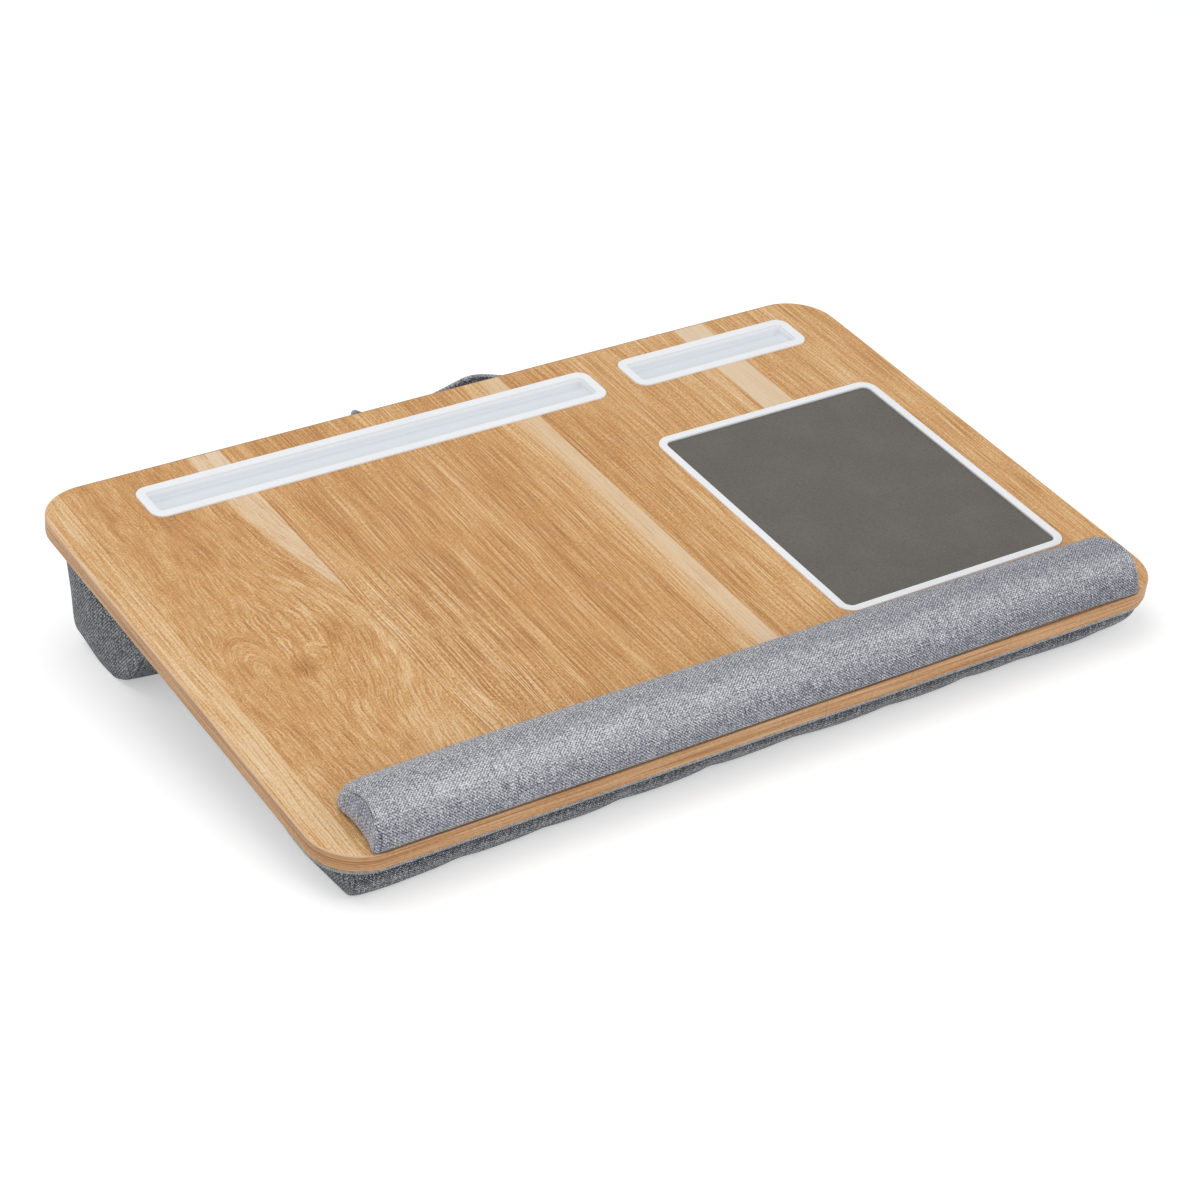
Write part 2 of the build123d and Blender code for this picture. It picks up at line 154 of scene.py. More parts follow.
def white_for_camera(tree, shown, lit):
    """Socket of a shader that camera, glossy and transmission rays see as shown and others as lit."""
    path = tree.nodes.new("ShaderNodeLightPath")
    rays = path.outputs["Is Camera Ray"]
    for kind in ("Is Glossy Ray", "Is Transmission Ray"):
        either = tree.nodes.new("ShaderNodeMath")
        either.operation = "MAXIMUM"
        tree.links.new(rays, either.inputs[0])
        tree.links.new(path.outputs[kind], either.inputs[1])
        rays = either.outputs[0]
    mix = tree.nodes.new("ShaderNodeMixShader")
    tree.links.new(rays, mix.inputs[0])
    tree.links.new(lit, mix.inputs[1])
    tree.links.new(shown, mix.inputs[2])
    return mix.outputs[0]


def make_world():
    """Even pale light from all round, seen as white by the camera."""
    world = bpy.data.worlds.new("world")
    world.use_nodes = True
    bpy.context.scene.world = world
    tree = world.node_tree
    lit = tree.nodes["Background"]
    lit.inputs["Color"].default_value = WORLD_COLOUR
    lit.inputs["Strength"].default_value = WORLD_STRENGTH
    shown = tree.nodes.new("ShaderNodeBackground")
    shown.inputs["Color"].default_value = (1, 1, 1, 1)
    shown.inputs["Strength"].default_value = 1.0
    surface = white_for_camera(tree, shown.outputs[0], lit.outputs[0])
    tree.links.new(surface, tree.nodes["World Output"].inputs["Surface"])


def make_floor():
    """White floor that keeps the desk's shadow and fades into the white background."""
    mesh = bpy.data.meshes.new("floor")
    half = FLOOR_SIZE / 2
    corners = [(-half, -half, 0), (half, -half, 0), (half, half, 0), (-half, half, 0)]
    mesh.from_pydata(corners, [], [(0, 1, 2, 3)])
    floor = bpy.data.objects.new("floor", mesh)
    bpy.context.scene.collection.objects.link(floor)
    material = bpy.data.materials.new("floor")
    material.use_nodes = True
    tree = material.node_tree
    tree.nodes.remove(tree.nodes["Principled BSDF"])
    diffuse = tree.nodes.new("ShaderNodeBsdfDiffuse")
    diffuse.inputs["Color"].default_value = (FLOOR_ALBEDO, FLOOR_ALBEDO, FLOOR_ALBEDO, 1)
    glow = tree.nodes.new("ShaderNodeEmission")
    glow.inputs["Strength"].default_value = FLOOR_GLOW
    both = tree.nodes.new("ShaderNodeAddShader")
    tree.links.new(diffuse.outputs[0], both.inputs[0])
    tree.links.new(glow.outputs[0], both.inputs[1])
    surface = white_for_camera(tree, both.outputs[0], diffuse.outputs[0])
    tree.links.new(surface, tree.nodes["Material Output"].inputs["Surface"])
    mesh.materials.append(material)


# ---- Building materials from nodes ----
def srgb(red, green, blue):
    """Linear colour of an sRGB one given from 0 to 255."""
    shares = np.array((red, green, blue)) / 255
    linear = np.where(shares <= 0.04045, shares / 12.92, ((shares + 0.055) / 1.055) ** 2.4)
    return (*linear.tolist(), 1.0)


class Value:
    """Output of a node in a Shade. Sums, products and the like of it add math nodes."""

    def __init__(self, shade, socket):
        self.shade = shade
        self.socket = socket

    def __add__(self, other):
        return self.shade.math("ADD", self, other)

    def __sub__(self, other):
        return self.shade.math("SUBTRACT", self, other)

    def __rsub__(self, other):
        return self.shade.math("SUBTRACT", other, self)

    def __mul__(self, other):
        return self.shade.math("MULTIPLY", self, other)

    def __truediv__(self, other):
        return self.shade.math("DIVIDE", self, other)

    def __neg__(self):
        return self * -1.0

    def __abs__(self):
        return self.shade.math("ABSOLUTE", self)

    __radd__ = __add__
    __rmul__ = __mul__


class Shade:
    """One node material and short ways to add nodes to it, fed with plain numbers or with Values."""

    def __init__(self, name, roughness, specular, sheen=0.0):
        self.material = bpy.data.materials.new(name)
        self.material.use_nodes = True
        self.tree = self.material.node_tree
        self.skin = self.tree.nodes["Principled BSDF"]
        self.skin.inputs["Roughness"].default_value = roughness
        self.skin.inputs["Specular IOR Level"].default_value = specular
        self.skin.inputs["Sheen Weight"].default_value = sheen

    def feed(self, socket, value):
        if isinstance(value, Value):
            self.tree.links.new(value.socket, socket)
        elif value is not None:
            socket.default_value = value

    def node(self, kind, inputs=(), **settings):
        made = self.tree.nodes.new("ShaderNode" + kind)
        for key, value in settings.items():
            setattr(made, key, value)
        for key, value in dict(inputs).items():
            self.feed(made.inputs[key], value)
        return made

    def value(self, kind, inputs=(), output=0, **settings):
        """Output of a new node."""
        return Value(self, self.node(kind, inputs, **settings).outputs[output])

    def math(self, operation, first, second=None):
        return self.value("Math", {0: first, 1: second}, operation=operation)

    def mix_values(self, share, first, second):
        return self.value("Mix", {0: share, 2: first, 3: second}, data_type="FLOAT")

    def wave(self, place, pitch):
        """Sine of place with the given pitch, from -1 to 1."""
        return self.math("SINE", place * (2 * math.pi / pitch))

    def step(self, value, low, high):
        """Smooth rise from 0 where value is low to 1 where it is high."""
        inputs = {"Value": value, "From Min": low, "From Max": high}
        return self.value("MapRange", inputs, interpolation_type="SMOOTHSTEP")

    def vector(self, x, y, z):
        return self.value("CombineXYZ", {"X": x, "Y": y, "Z": z})

    def noise(self, x, y, across, along, seed, detail=2.0):
        """Noise from 0 to 1 about 0.5, with the given frequencies across x and along y."""
        place = self.vector(x * across, y * along, seed)
        return self.value("TexNoise", {"Vector": place, "Scale": 1.0, "Detail": detail}, "Fac")

    def ramp(self, value, stops):
        """Colour ramp through (place, sRGB colour) stops."""
        made = self.node("ValToRGB", {"Fac": value})
        elements = made.color_ramp.elements
        while len(elements) < len(stops):
            elements.new(0.5)
        for element, (place, colour) in zip(elements, stops):
            element.position = place
            element.color = srgb(*colour)
        return Value(self, made.outputs[0])

    def mix(self, share, first, second, blend="MIX"):
        """Mix of two colours."""
        return self.value("Mix", {0: share, 6: first, 7: second}, 2, data_type="RGBA", blend_type=blend)

    def bump(self, height, depth):
        """Normal of a relief of the given depth in metres at height 1."""
        return self.value("Bump", {"Strength": 1.0, "Distance": depth, "Height": height})

    def split(self, vector):
        made = self.node("SeparateXYZ", {"Vector": vector})
        return [Value(self, socket) for socket in made.outputs]

    def board_place(self):
        """x, v and w in board measures."""
        inputs = {
            "Vector": self.value("TexCoord", output="Object"),
            "Location": -(BOARD_AXES @ BOARD_CORNER) / MM,
            "Rotation": (-BOARD_TILT, 0, 0),
            "Scale": (1 / MM,) * 3,
        }
        return self.split(self.value("Mapping", inputs))

    def cloth_place(self):
        """Measures along and round a fabric piece, in millimetres."""
        along, round_it, _ = self.split(self.value("UVMap", uv_map="cloth"))
        return along * (1 / MM), round_it * (1 / MM)

    def finish(self, colour, roughness, normal):
        """Dresses the surface, with its plain roughness kept where that is None."""
        self.feed(self.skin.inputs["Base Color"], colour)
        self.feed(self.skin.inputs["Roughness"], roughness)
        self.feed(self.skin.inputs["Normal"], normal)
        return self.material


# ---- Materials ----
OAK_PALE = (236, 209, 173)
OAK_SAP = (222, 199, 172)
OAK_LIGHT = (226, 187, 136)
OAK_MIDDLE = (207, 154, 93)
OAK_DARK = (185, 131, 75)
OAK_DEEP = (150, 100, 54)
PLANK_SEAMS = (20.4, 121.2, 313.0)
# How far the first seam leans left, in mm per mm.
FIRST_SEAM_LEAN = 0.008
# Each plank's tone over the middle one.
PLANK_TONES = (0.15, 0.01, -0.03, 0.02)
# Streaks of the figure: x, half width, share of it that fades, v of its start and end, lean in mm per mm
# and strength.
STREAKS = (
    (12, 9, 0.5, -50, 130, 0.0, 0.14),
    (14, 6, 0.4, 100, 270, 0.0, 0.09),
    (5, 3, 0.6, 60, 230, 0.0, 0.10),
    (6, 5, 0.6, 220, 420, 0.0, -0.05),
    (25, 5, 0.6, -50, 110, 0.0, 0.05),
    (106, 18, 0.7, -50, 112, 0.0, 0.12),
    (131, 14, 0.6, -50, 250, 0.0, 0.08),
    (158, 14, 0.6, -50, 190, 0.0, 0.05),
    (182, 14, 0.7, 235, 420, 0.0, -0.06),
    (222, 30, 0.7, -50, 100, 0.0, 0.06),
    (76, 26, 0.5, 235, 420, 0.0, -0.06),
    (66, 20, 0.6, 268, 420, 0.0, -0.05),
    (472, 8, 0.6, 235, 300, 0.0, 0.08),
    (33, 9, 0.8, 225, 420, 0.0, -0.08),
    (104, 4, 0.7, 300, 420, 0.0, 0.12),
    (116, 5, 0.4, 300, 420, 0.0, 0.32),
    (110, 2, 0.6, 300, 420, 0.0, -0.10),
    (146, 18, 0.7, 230, 420, 0.0, -0.04),
    (178, 10, 0.7, 150, 420, 0.01, -0.08),
    (192.5, 2.0, 0.9, 55, 222, 0.02, 0.16),
    (196.8, 1.6, 0.9, 40, 200, 0.02, -0.12),
    (216, 5, 0.8, 200, 310, 0.0, 0.08),
    (232, 8, 0.8, 40, 300, 0.0, 0.04),
    (251, 14, 0.7, 90, 420, 0.0, -0.05),
    (279, 4, 0.8, 40, 420, 0.0, 0.03),
    (291, 7, 0.5, -50, 420, 0.0, 0.13),
    (317, 3, 0.8, -50, 420, 0.0, -0.10),
    (330, 9, 0.8, 60, 420, 0.0, -0.03),
    (352, 6, 0.8, 60, 250, 0.0, 0.08),
    (424, 8, 0.8, 225, 420, -0.04, 0.12),
    (437, 5, 0.7, 225, 420, -0.02, 0.10),
    (455.4, 11.4, 0.12, 200, 420, 0.0, 0.42),
    (515, 12, 0.8, 200, 420, 0.02, 0.05),
)
KNOT_PLACE = (76.0, 158.0)
ARCH_PLACE = (44.5, 160.0)
PIP_PLACE = (84.3, 162.6)
BLOT_PLACE = (65.5, 151.0)
HOOK_PLACE = (79.0, 163.0)
SHADE_PLACE = (94.0, 172.0)
# How far apart the planks lie in the noise, so that each has its own figure.
PLANK_SHIFT = 37.0


def apart(s, x, v, place, squash=1.0, wobble=0.0):
    """Distance from a place on the board, with the way along the grain squashed."""
    off_x = x - place[0] + wobble
    off_v = (v - place[1] + wobble) * squash
    return s.math("SQRT", off_x * off_x + off_v * off_v)


def bell(s, value, centre, half_width):
    """1 at the centre, fading like a bell."""
    off = (value - centre) / half_width
    return s.math("EXPONENT", -(off * off))


def grain_tone(s, across, up, liveliness):
    """Tone of the grain about 0, from bands to threads, and its dark pores and light flecks."""
    layers = (
        (0.060, 0.0030, 1.0, 2.0, 0.34),
        (0.240, 0.0070, 2.0, 2.0, 0.20),
    )
    lines = (
        (0.520, 0.010, 5.0, 1.0, 0.28),
        (0.900, 0.014, 8.0, 1.0, 0.62),
        (1.500, 0.026, 9.0, 1.0, 1.00),
        (1.300, 0.480, 10.0, 1.0, 0.80),
    )
    tone = 0.0
    for across_scale, up_scale, seed, detail, strength in layers:
        noise = s.noise(across, up, across_scale, up_scale, seed, detail)
        tone = tone + (noise - 0.5) * strength
    fine = 0.0
    for across_scale, up_scale, seed, detail, strength in lines:
        noise = s.noise(across, up, across_scale, up_scale, seed, detail)
        fine = fine + (noise - 0.5) * strength
    tone = tone + fine * liveliness
    pores = s.step(s.noise(across, up, 1.25, 0.035, 17.0, 1.0), 0.60, 0.74)
    flecks = s.step(s.noise(across, up, 1.10, 0.030, 23.0, 1.0), 0.60, 0.76)
    return tone, pores, flecks


def oak_top():
    """Oak print of the top: four glued planks, with a knot and nested arches beside it in the second one."""
    s = Shade("oak_top", roughness=0.5, specular=0.3)
    x, v, _ = s.board_place()
    seam_places = (x + v * FIRST_SEAM_LEAN, x, x)
    seams = [s.math("GREATER_THAN", place, seam) for place, seam in zip(seam_places, PLANK_SEAMS)]
    second = seams[0] - seams[1]
    third = seams[1] - seams[2]
    plank = seams[0] * PLANK_SHIFT + seams[1] * (2 * PLANK_SHIFT) + seams[2] * (3 * PLANK_SHIFT)
    # The grain sways a little everywhere, and swerves to the right round the knot.
    sway = (s.noise(x, v, 0.012, 0.006, 3.0) - 0.5) * 8.0
    curl = (s.noise(x, v, 0.035, 0.022, 11.0, 1.0) - 0.5) * (second * 3.2 + 1.5)
    crimp = (s.noise(x, v, 0.22, 0.11, 12.0, 1.0) - 0.5) * (second * 2.0 + 0.3)
    bowed = bell(s, v, 175.0, 70.0) * s.step(x, 42.0, 112.0) * 21.0
    left_bow = bell(s, v, 160.0, 50.0) * s.step(x, 52.0, 34.0) * 3.0
    swerve = (bowed - left_bow) * second
    wander = curl + sway + crimp
    run = x - swerve + wander + plank
    up = v * (second * 1.1 + 1.0) + plank * 7.0
    # Nested arches stand left of the knot, and hooked rings lie in it.
    arch_x = (x - ARCH_PLACE[0] + wander * 0.9) * 1.25
    arch_v = s.math("MAXIMUM", v - ARCH_PLACE[1], 0.0) * 0.55
    arch = s.math("SQRT", arch_x * arch_x + arch_v * arch_v)
    ring = apart(s, x, v, KNOT_PLACE, 0.7, wander * 0.9)
    in_knot = s.step(ring, 14.0, 5.0) * 0.45
    in_arch = s.step(arch, 26.0, 13.0) * s.step(v, 95.0, 150.0) * 0.85
    ringed = s.math("GREATER_THAN", in_knot, in_arch)
    other = s.mix_values(ringed, arch + 40.0, ring + 90.0) + plank
    share = s.math("MAXIMUM", in_knot, in_arch) * second
    # Lines are strongest in the front half of the third plank and calm in the sapwood.
    lively = s.step(x, 205.0, 165.0) * s.step(v, 235.0, 180.0) * third
    calm = s.step(x, 290.0, 304.0) * (1.0 - seams[2]) * 0.7
    calm = calm + s.step(x, 443.0, 445.0) * s.step(x, 467.0, 465.0)
    calm = calm + s.step(v, 195.0, 235.0) * s.step(x, 92.0, 75.0) * second * 0.5
    liveliness = 0.98 + lively * 0.5 - calm * 0.38 - second * 0.1
    plain = grain_tone(s, run, up, liveliness)
    figured = grain_tone(s, other, (up + x) * 1.3, liveliness)
    tone, pores, flecks = [s.mix_values(share, a, b) for a, b in zip(plain, figured)]
    tone = tone + 0.5 + PLANK_TONES[0]
    for seam, before, after in zip(seams, PLANK_TONES, PLANK_TONES[1:]):
        tone = tone + seam * (after - before)
    for place, half_width, fading, start, end, lean, strength in STREAKS:
        off = x - v * lean - place + lean * start + sway * 0.25
        inside = s.step(abs(off), half_width, half_width * (1 - fading))
        inside = inside * s.step(v, start, start + 30) * s.step(v, end, end - 30)
        tone = tone + inside * strength
    nested = s.wave(arch + wander * 1.1 + crimp * 2.0, 3.1)
    nested = nested * s.step(arch, 19.0, 13.0) * s.step(v, 128.0, 160.0)
    mottled = (s.noise(x, v, 0.17, 0.11, 31.0, 2.0) - 0.5) * 0.22
    mottled = mottled + (s.noise(x, v, 0.9, 0.6, 37.0, 1.0) - 0.5) * 0.5
    tone = tone + (nested * 0.035 + mottled) * second
    for place, seam in zip(seam_places, PLANK_SEAMS):
        tone = tone - s.step(abs(place - seam), 0.7, 0.2) * 0.14
    # A pale wedge runs down from the back edge along the second seam, and a light flame beside it.
    falling = (330.0 - v) / 130
    wedge_edge = falling * falling * 20.0 + 99.0
    wedge = s.step(x - wedge_edge + wander * 0.5, -1.5, 4.0) * second
    wedge = wedge * s.step(v, 188.0, 222.0)
    rise = s.math("MAXIMUM", v - 168.0, 0.0) / 62
    drop = s.math("MAXIMUM", 140.0 - v, 0.0) / 40
    flame_line = 117.0 - rise * rise * 27.0 - drop * drop * 22.0
    flame_off = abs(x - flame_line + wander * 0.6)
    flame = s.step(flame_off, 5.0, 1.0) * s.step(v, 95.0, 120.0) * s.step(v, 245.0, 225.0)
    flame = flame * second
    sapwood = s.step(x + sway * 0.4, 292.0, 308.0) * (1.0 - seams[2])
    wedge_lines = s.step(s.noise(run, up, 0.6, 0.006, 41.0, 1.0), 0.52, 0.66) * wedge
    tone = tone + wedge * 0.32 + flame * 0.13 + sapwood * 0.34 - wedge_lines * 0.24
    # The knot: an orange blot on its left, a light hook and a dark pip.
    blot = s.step(apart(s, x, v, BLOT_PLACE, 0.8, curl * 0.5), 11.0, 2.0)
    hook = abs(apart(s, x, v, HOOK_PLACE, 0.9, curl * 0.4) - 5.0)
    hook = s.step(hook, 2.2, 0.4) * s.step(x - v, -77.0, -85.0)
    pip = s.step(apart(s, x, v, PIP_PLACE), 2.0, 0.4)
    shade_right = s.step(apart(s, x, v, SHADE_PLACE, 0.35), 8.0, 2.0)
    knot = hook * 0.18 - blot * 0.24 - pip * 0.5 - shade_right * 0.12
    tone = tone + knot * second
    stops = [(0.0, OAK_DEEP), (0.27, OAK_DARK), (0.5, OAK_MIDDLE), (0.72, OAK_LIGHT), (1.0, OAK_PALE)]
    colour = s.ramp(tone, stops)
    # Sapwood is greyer than the heartwood's lightest lines.
    sap = sapwood * 0.8 + s.step(x, 443.6, 444.8) * s.step(x, 467.0, 465.8)
    colour = s.mix(s.math("MAXIMUM", sap, wedge * 0.7) * 0.5, colour, srgb(*OAK_SAP))
    colour = s.mix(pores * liveliness * 0.4, colour, srgb(*OAK_DEEP))
    colour = s.mix(flecks * liveliness * 0.34, colour, srgb(*OAK_PALE))
    roughness = pores * 0.12 + 0.47
    return s.finish(colour, roughness, s.bump(-pores, 0.03 * MM))


def oak_edge():
    """Printed edge band, with its lines running along the edge, and painted light and shade on its top rim.
    """
    s = Shade("oak_edge", roughness=0.5, specular=0.4)
    x, v, w = s.board_place()
    along = x + v
    broad = s.noise(w, along, 0.35, 0.006, 1.0, 2.0) - 0.5
    fine = s.noise(w, along, 1.1, 0.016, 4.0, 2.0) - 0.5
    speckle = s.noise(w, along, 1.5, 0.4, 7.0, 1.0) - 0.5
    # Painted highlight: the top rim is drawn lighter, and paler still along the left side.
    rim = s.step(w, -0.6, -0.3)
    tone = 0.5 + broad * 1.0 + fine * 1.6 + speckle * 0.8 + rim * 0.2
    colour = s.ramp(tone, [(0.1, (166, 116, 72)), (0.5, (201, 152, 104)), (0.9, (224, 184, 140))])
    colour = s.mix(rim * s.step(x, 32.0, 16.0) * 0.5, colour, srgb(226, 200, 172))
    # Painted shadow: the top rim is darkened along the wrist rest's foot.
    rest_shadow = s.step(x, 25.0, 31.0) * s.step(x, 529.0, 524.0)
    colour = s.mix(rim * rest_shadow * 0.6, colour, srgb(120, 82, 58))
    return s.finish(colour, None, s.bump(fine, 0.03 * MM))


def backing():
    """Plain brown backing of the board."""
    s = Shade("backing", roughness=0.7, specular=0.3)
    x, v, _ = s.board_place()
    tone = s.noise(x, v, 0.8, 0.8, 2.0, 4.0)
    colour = s.ramp(tone, [(0.2, (118, 92, 68)), (0.8, (150, 120, 92))])
    return s.finish(colour, None, s.bump(tone, 0.05 * MM))


TRAY_FLOOR_TOP = -6.0


def white_plastic():
    """Moulded white plastic with a very fine spark-eroded texture, and painted light and shade in its trays.
    """
    s = Shade("white_plastic", roughness=0.38, specular=0.45)
    x, v, w = s.board_place()
    tone = s.noise(x, v, 0.02, 0.02, 1.0, 2.0)
    grain = s.value("TexNoise", {"Vector": s.vector(x, v, w), "Scale": 2.2, "Detail": 2.0}, "Fac")
    colour = s.ramp(tone, [(0.3, (239, 241, 243)), (0.7, (243, 245, 247))])
    # Painted light: below the top, the recesses are drawn whiter than the plastic, fading towards their foot.
    painted_wall_light = s.mix(s.step(w, -0.5, -3.5), srgb(255, 255, 255), srgb(239, 242, 245))
    colour = s.mix(s.step(w, -0.05, -0.4), colour, painted_wall_light)
    # Painted shade darkens the tray floors; past v 326 to 338 painted light lifts them again.
    floor = s.mix(s.step(v, 326.0, 338.0), srgb(221, 226, 230), srgb(234, 239, 243))
    colour = s.mix(s.step(w, TRAY_FLOOR_TOP + 0.5, TRAY_FLOOR_TOP + 0.2), colour, floor)
    roughness = grain * 0.12 + 0.33
    return s.finish(colour, roughness, s.bump(grain, 0.012 * MM))


def taupe_leather():
    """Embossed leatherette of the mouse pad."""
    s = Shade("taupe_leather", roughness=0.62, specular=0.35)
    x, v, w = s.board_place()
    place = s.vector(x + s.noise(x, v, 0.4, 0.4, 1.0), v, w)
    cells = {"Vector": place, "Scale": 0.85, "Randomness": 1.0}
    pits = s.value("TexVoronoi", cells, "Distance", feature="SMOOTH_F1")
    creases = s.noise(x, v, 0.9, 0.9, 9.0, 3.0)
    tone = pits * -0.35 + creases * 0.25 + s.noise(x, v, 0.03, 0.03, 5.0) * 0.3 + 0.4
    colour = s.ramp(tone, [(0.2, (80, 75, 70)), (0.5, (96, 91, 85)), (0.85, (115, 109, 102))])
    relief = -pits + creases * 0.3
    return s.finish(colour, None, s.bump(relief, 0.16 * MM))


# Pitches of the plain weave along a piece and round it, and how far its yarns sway.
WEAVE_ALONG = 2.0
WEAVE_ROUND = 1.75
WEAVE_SWAY = 1.0
# Colours of the wrist rest's cloth and of the cushion's, from dark yarns to light ones.
REST_STOPS = [
    (0.05, (66, 70, 81)), (0.35, (122, 125, 135)), (0.6, (164, 165, 172)), (0.95, (232, 232, 234)),
]
# The cushion's colours are darker than the rest's for the same weave: painted shade.
CUSHION_STOPS = [
    (0.1, (50, 53, 58)), (0.42, (97, 100, 105)), (0.62, (135, 137, 141)), (0.95, (206, 207, 209)),
]
# What the rest's left end is tinted with, against the warm light off the wood.
REST_END_TINT = (0.925, 0.97, 1.05, 1.0)


def woven(s, along, round_it):
    """Weave, diagonals and uneven yarns of a plain cloth, each about 0."""
    sway = (s.noise(along, round_it, 0.12, 0.12, 3.0) - 0.5) * WEAVE_SWAY
    across, down = along + sway, round_it + sway
    weave = s.wave(across, WEAVE_ALONG) * s.wave(down, WEAVE_ROUND)
    rising = s.wave(across / WEAVE_ALONG + down / WEAVE_ROUND, 1.0)
    falling = s.wave(across / WEAVE_ALONG - down / WEAVE_ROUND, 1.0)
    yarns = (
        s.noise(along, round_it, 0.1, 1.0, 5.0, 2.0) - 0.5,
        s.noise(along, round_it, 1.0, 0.1, 8.0, 2.0) - 0.5,
        s.noise(along, round_it, 1.0, 1.0, 11.0, 2.0) - 0.5,
    )
    return weave, rising, falling, yarns


def grey_twill():
    """Blue-grey cloth of the wrist rest, with sewn ends and a painted highlight along its crest."""
    s = Shade("grey_twill", roughness=0.85, specular=0.2, sheen=0.25)
    along, round_it = s.cloth_place()
    weave, rising, falling, (level, upright, speckle) = woven(s, along, round_it)
    diagonals = s.mix_values(s.step(round_it, 14.0, 24.0), rising, falling)
    white = s.step(s.noise(along, round_it, 0.16, 1.6, 17.0, 1.0), 0.62, 0.72)
    on_end = s.step(along, PATCH_SHIFT / 2, PATCH_SHIFT / 2 + 1.0)
    # Painted highlight: a paler band along the crest, weaker near the left end.
    crest = bell(s, round_it, 25.5, 10.5) * (s.step(along, 0.0, 45.0) * 0.6 + 0.4)
    tone = 0.46 + weave * 0.18 + diagonals * 0.16 + white * 0.06 + crest * 0.16
    rough = s.step(round_it, 38.0, 50.0) * 1.6 + 1.7
    tone = tone + level * 0.6 + upright * 0.8 + speckle * rough
    # Painted shade: the lower front is drawn a little darker.
    tone = tone - s.step(round_it, 15.0, 11.0) * 0.03
    # Painted light: the sleeve is drawn lighter towards its left end and darker towards its right.
    lit = (REST_SPAN / 2 - along) * s.step(along, PATCH_SHIFT / 2, REST_SPAN + 10.0)
    tone = tone + lit * (0.12 / REST_SPAN)
    # The left end's seam runs further inside low down, where a tab is folded over, and is broken above it.
    inside = s.step(round_it, 21.0, 13.0) * 2.7
    # Painted shade: the seam's crease is drawn as a dark line.
    crease = s.step(abs(along - inside), 0.8, 0.25)
    crease = crease * (1.0 - bell(s, round_it, 19.5, 2.0))
    crease = crease * s.step(round_it, 56.0, 46.0)
    # Painted shadow: the sleeve's foot is darkened where it meets the board.
    hem = s.step(round_it, 2.4, 0.7)
    tone = tone - crease * 0.34 - hem * 0.42
    relief = weave * 0.3 + diagonals * 0.2 + level * 0.8 + speckle * 0.8
    x, _, _ = s.board_place()
    tinted = on_end * s.math("LESS_THAN", x, BOARD_WIDTH / 2)
    colour = s.mix(tinted, s.ramp(tone, REST_STOPS), REST_END_TINT, "MULTIPLY")
    return s.finish(colour, None, s.bump(relief, 0.16 * MM))


def grey_heather():
    """Heather cloth of the cushion, drawn dark as painted shade, with a painted shadow under its piping."""
    s = Shade("grey_heather", roughness=0.9, specular=0.15, sheen=0.2)
    along, round_it = s.cloth_place()
    weave, rising, _, (level, upright, speckle) = woven(s, along, round_it)
    clouds = s.noise(along, round_it, 0.42, 0.3, 14.0, 2.0) - 0.5
    on_end = s.step(along, PATCH_SHIFT / 2, PATCH_SHIFT / 2 + 1.0)
    twilled = rising * (on_end * -0.2 + 0.2)
    tone = 0.49 + weave * (on_end * 0.1 + 0.28) + twilled + clouds * 0.6
    tone = tone + level * 0.7 + upright * 1.0 + speckle * 2.4 - on_end * 0.06
    # Painted light: the sleeve is drawn lighter over its last 70 mm at the right.
    right_end_light = s.step(along, CUSHION_SPAN - 70.0, CUSHION_SPAN) * (1.0 - on_end)
    tone = tone + right_end_light * 0.1
    # Painted shade in the end seams, and a painted shadow along the front top under the piping.
    seam = s.step(abs(s.math("MINIMUM", along, CUSHION_SPAN - along)), 0.8, 0.24)
    tone = tone - seam * 0.25 - s.step(round_it, 6.5, 4.5) * 0.2
    relief = weave * 0.3 + level + upright + speckle
    return s.finish(s.ramp(tone, CUSHION_STOPS), None, s.bump(relief, 0.22 * MM))


def light_piping():
    """Ribbed tape of the cushion's top seam, drawn light grey as painted light on the cushion's grey cloth.
    """
    s = Shade("light_piping", roughness=0.8, specular=0.2, sheen=0.2)
    along, round_it = s.cloth_place()
    ribs = s.wave(along, 1.1)
    tone = 0.5 + ribs * 0.15 + (s.noise(along, round_it, 0.6, 0.8, 3.0, 3.0) - 0.5) * 1.6
    # Painted light: these light greys stand for the cushion's grey cloth catching the light.
    stops = [(0.1, (116, 119, 121)), (0.5, (168, 170, 170)), (0.9, (208, 209, 209))]
    return s.finish(s.ramp(tone, stops), None, s.bump(ribs, 0.12 * MM))


def grey_strap():
    """Dark grey webbing with a woven rim, drawn lighter as a painted highlight."""
    s = Shade("grey_strap", roughness=0.85, specular=0.2, sheen=0.2)
    along, round_it = s.cloth_place()
    ribs = s.wave(along, 2.2) * s.wave(round_it, 1.8)
    across = abs(round_it - STRAP_WIDTH / 2)
    # Painted highlight: both rims are drawn lighter.
    rim = s.step(across, STRAP_WIDTH / 2 - 1.6, STRAP_WIDTH / 2 - 0.9)
    speckle = s.noise(along, round_it, 0.8, 0.8, 3.0, 2.0) - 0.5
    blotches = s.noise(along, round_it, 0.25, 0.25, 9.0, 2.0) - 0.5
    tone = 0.42 + ribs * 0.16 + speckle * 2.2 + blotches * 1.0 + rim * 0.35
    # A box of stitches holds each end.
    off = abs(s.math("MINIMUM", along, STRAP_LENGTH - along) - STITCH_MIDDLE)
    box = s.math("MAXIMUM", off - STITCH_HALF[0], across - STITCH_HALF[1])
    stitches = s.step(abs(box), 0.7, 0.3) * s.step(s.wave(along + round_it, 2.8), -0.4, 0.1)
    tone = tone + stitches * 0.4
    stops = [(0.1, (58, 61, 68)), (0.45, (98, 102, 110)), (0.9, (180, 184, 190))]
    relief = ribs + stitches * 2.0
    return s.finish(s.ramp(tone, stops), None, s.bump(relief, 0.15 * MM))


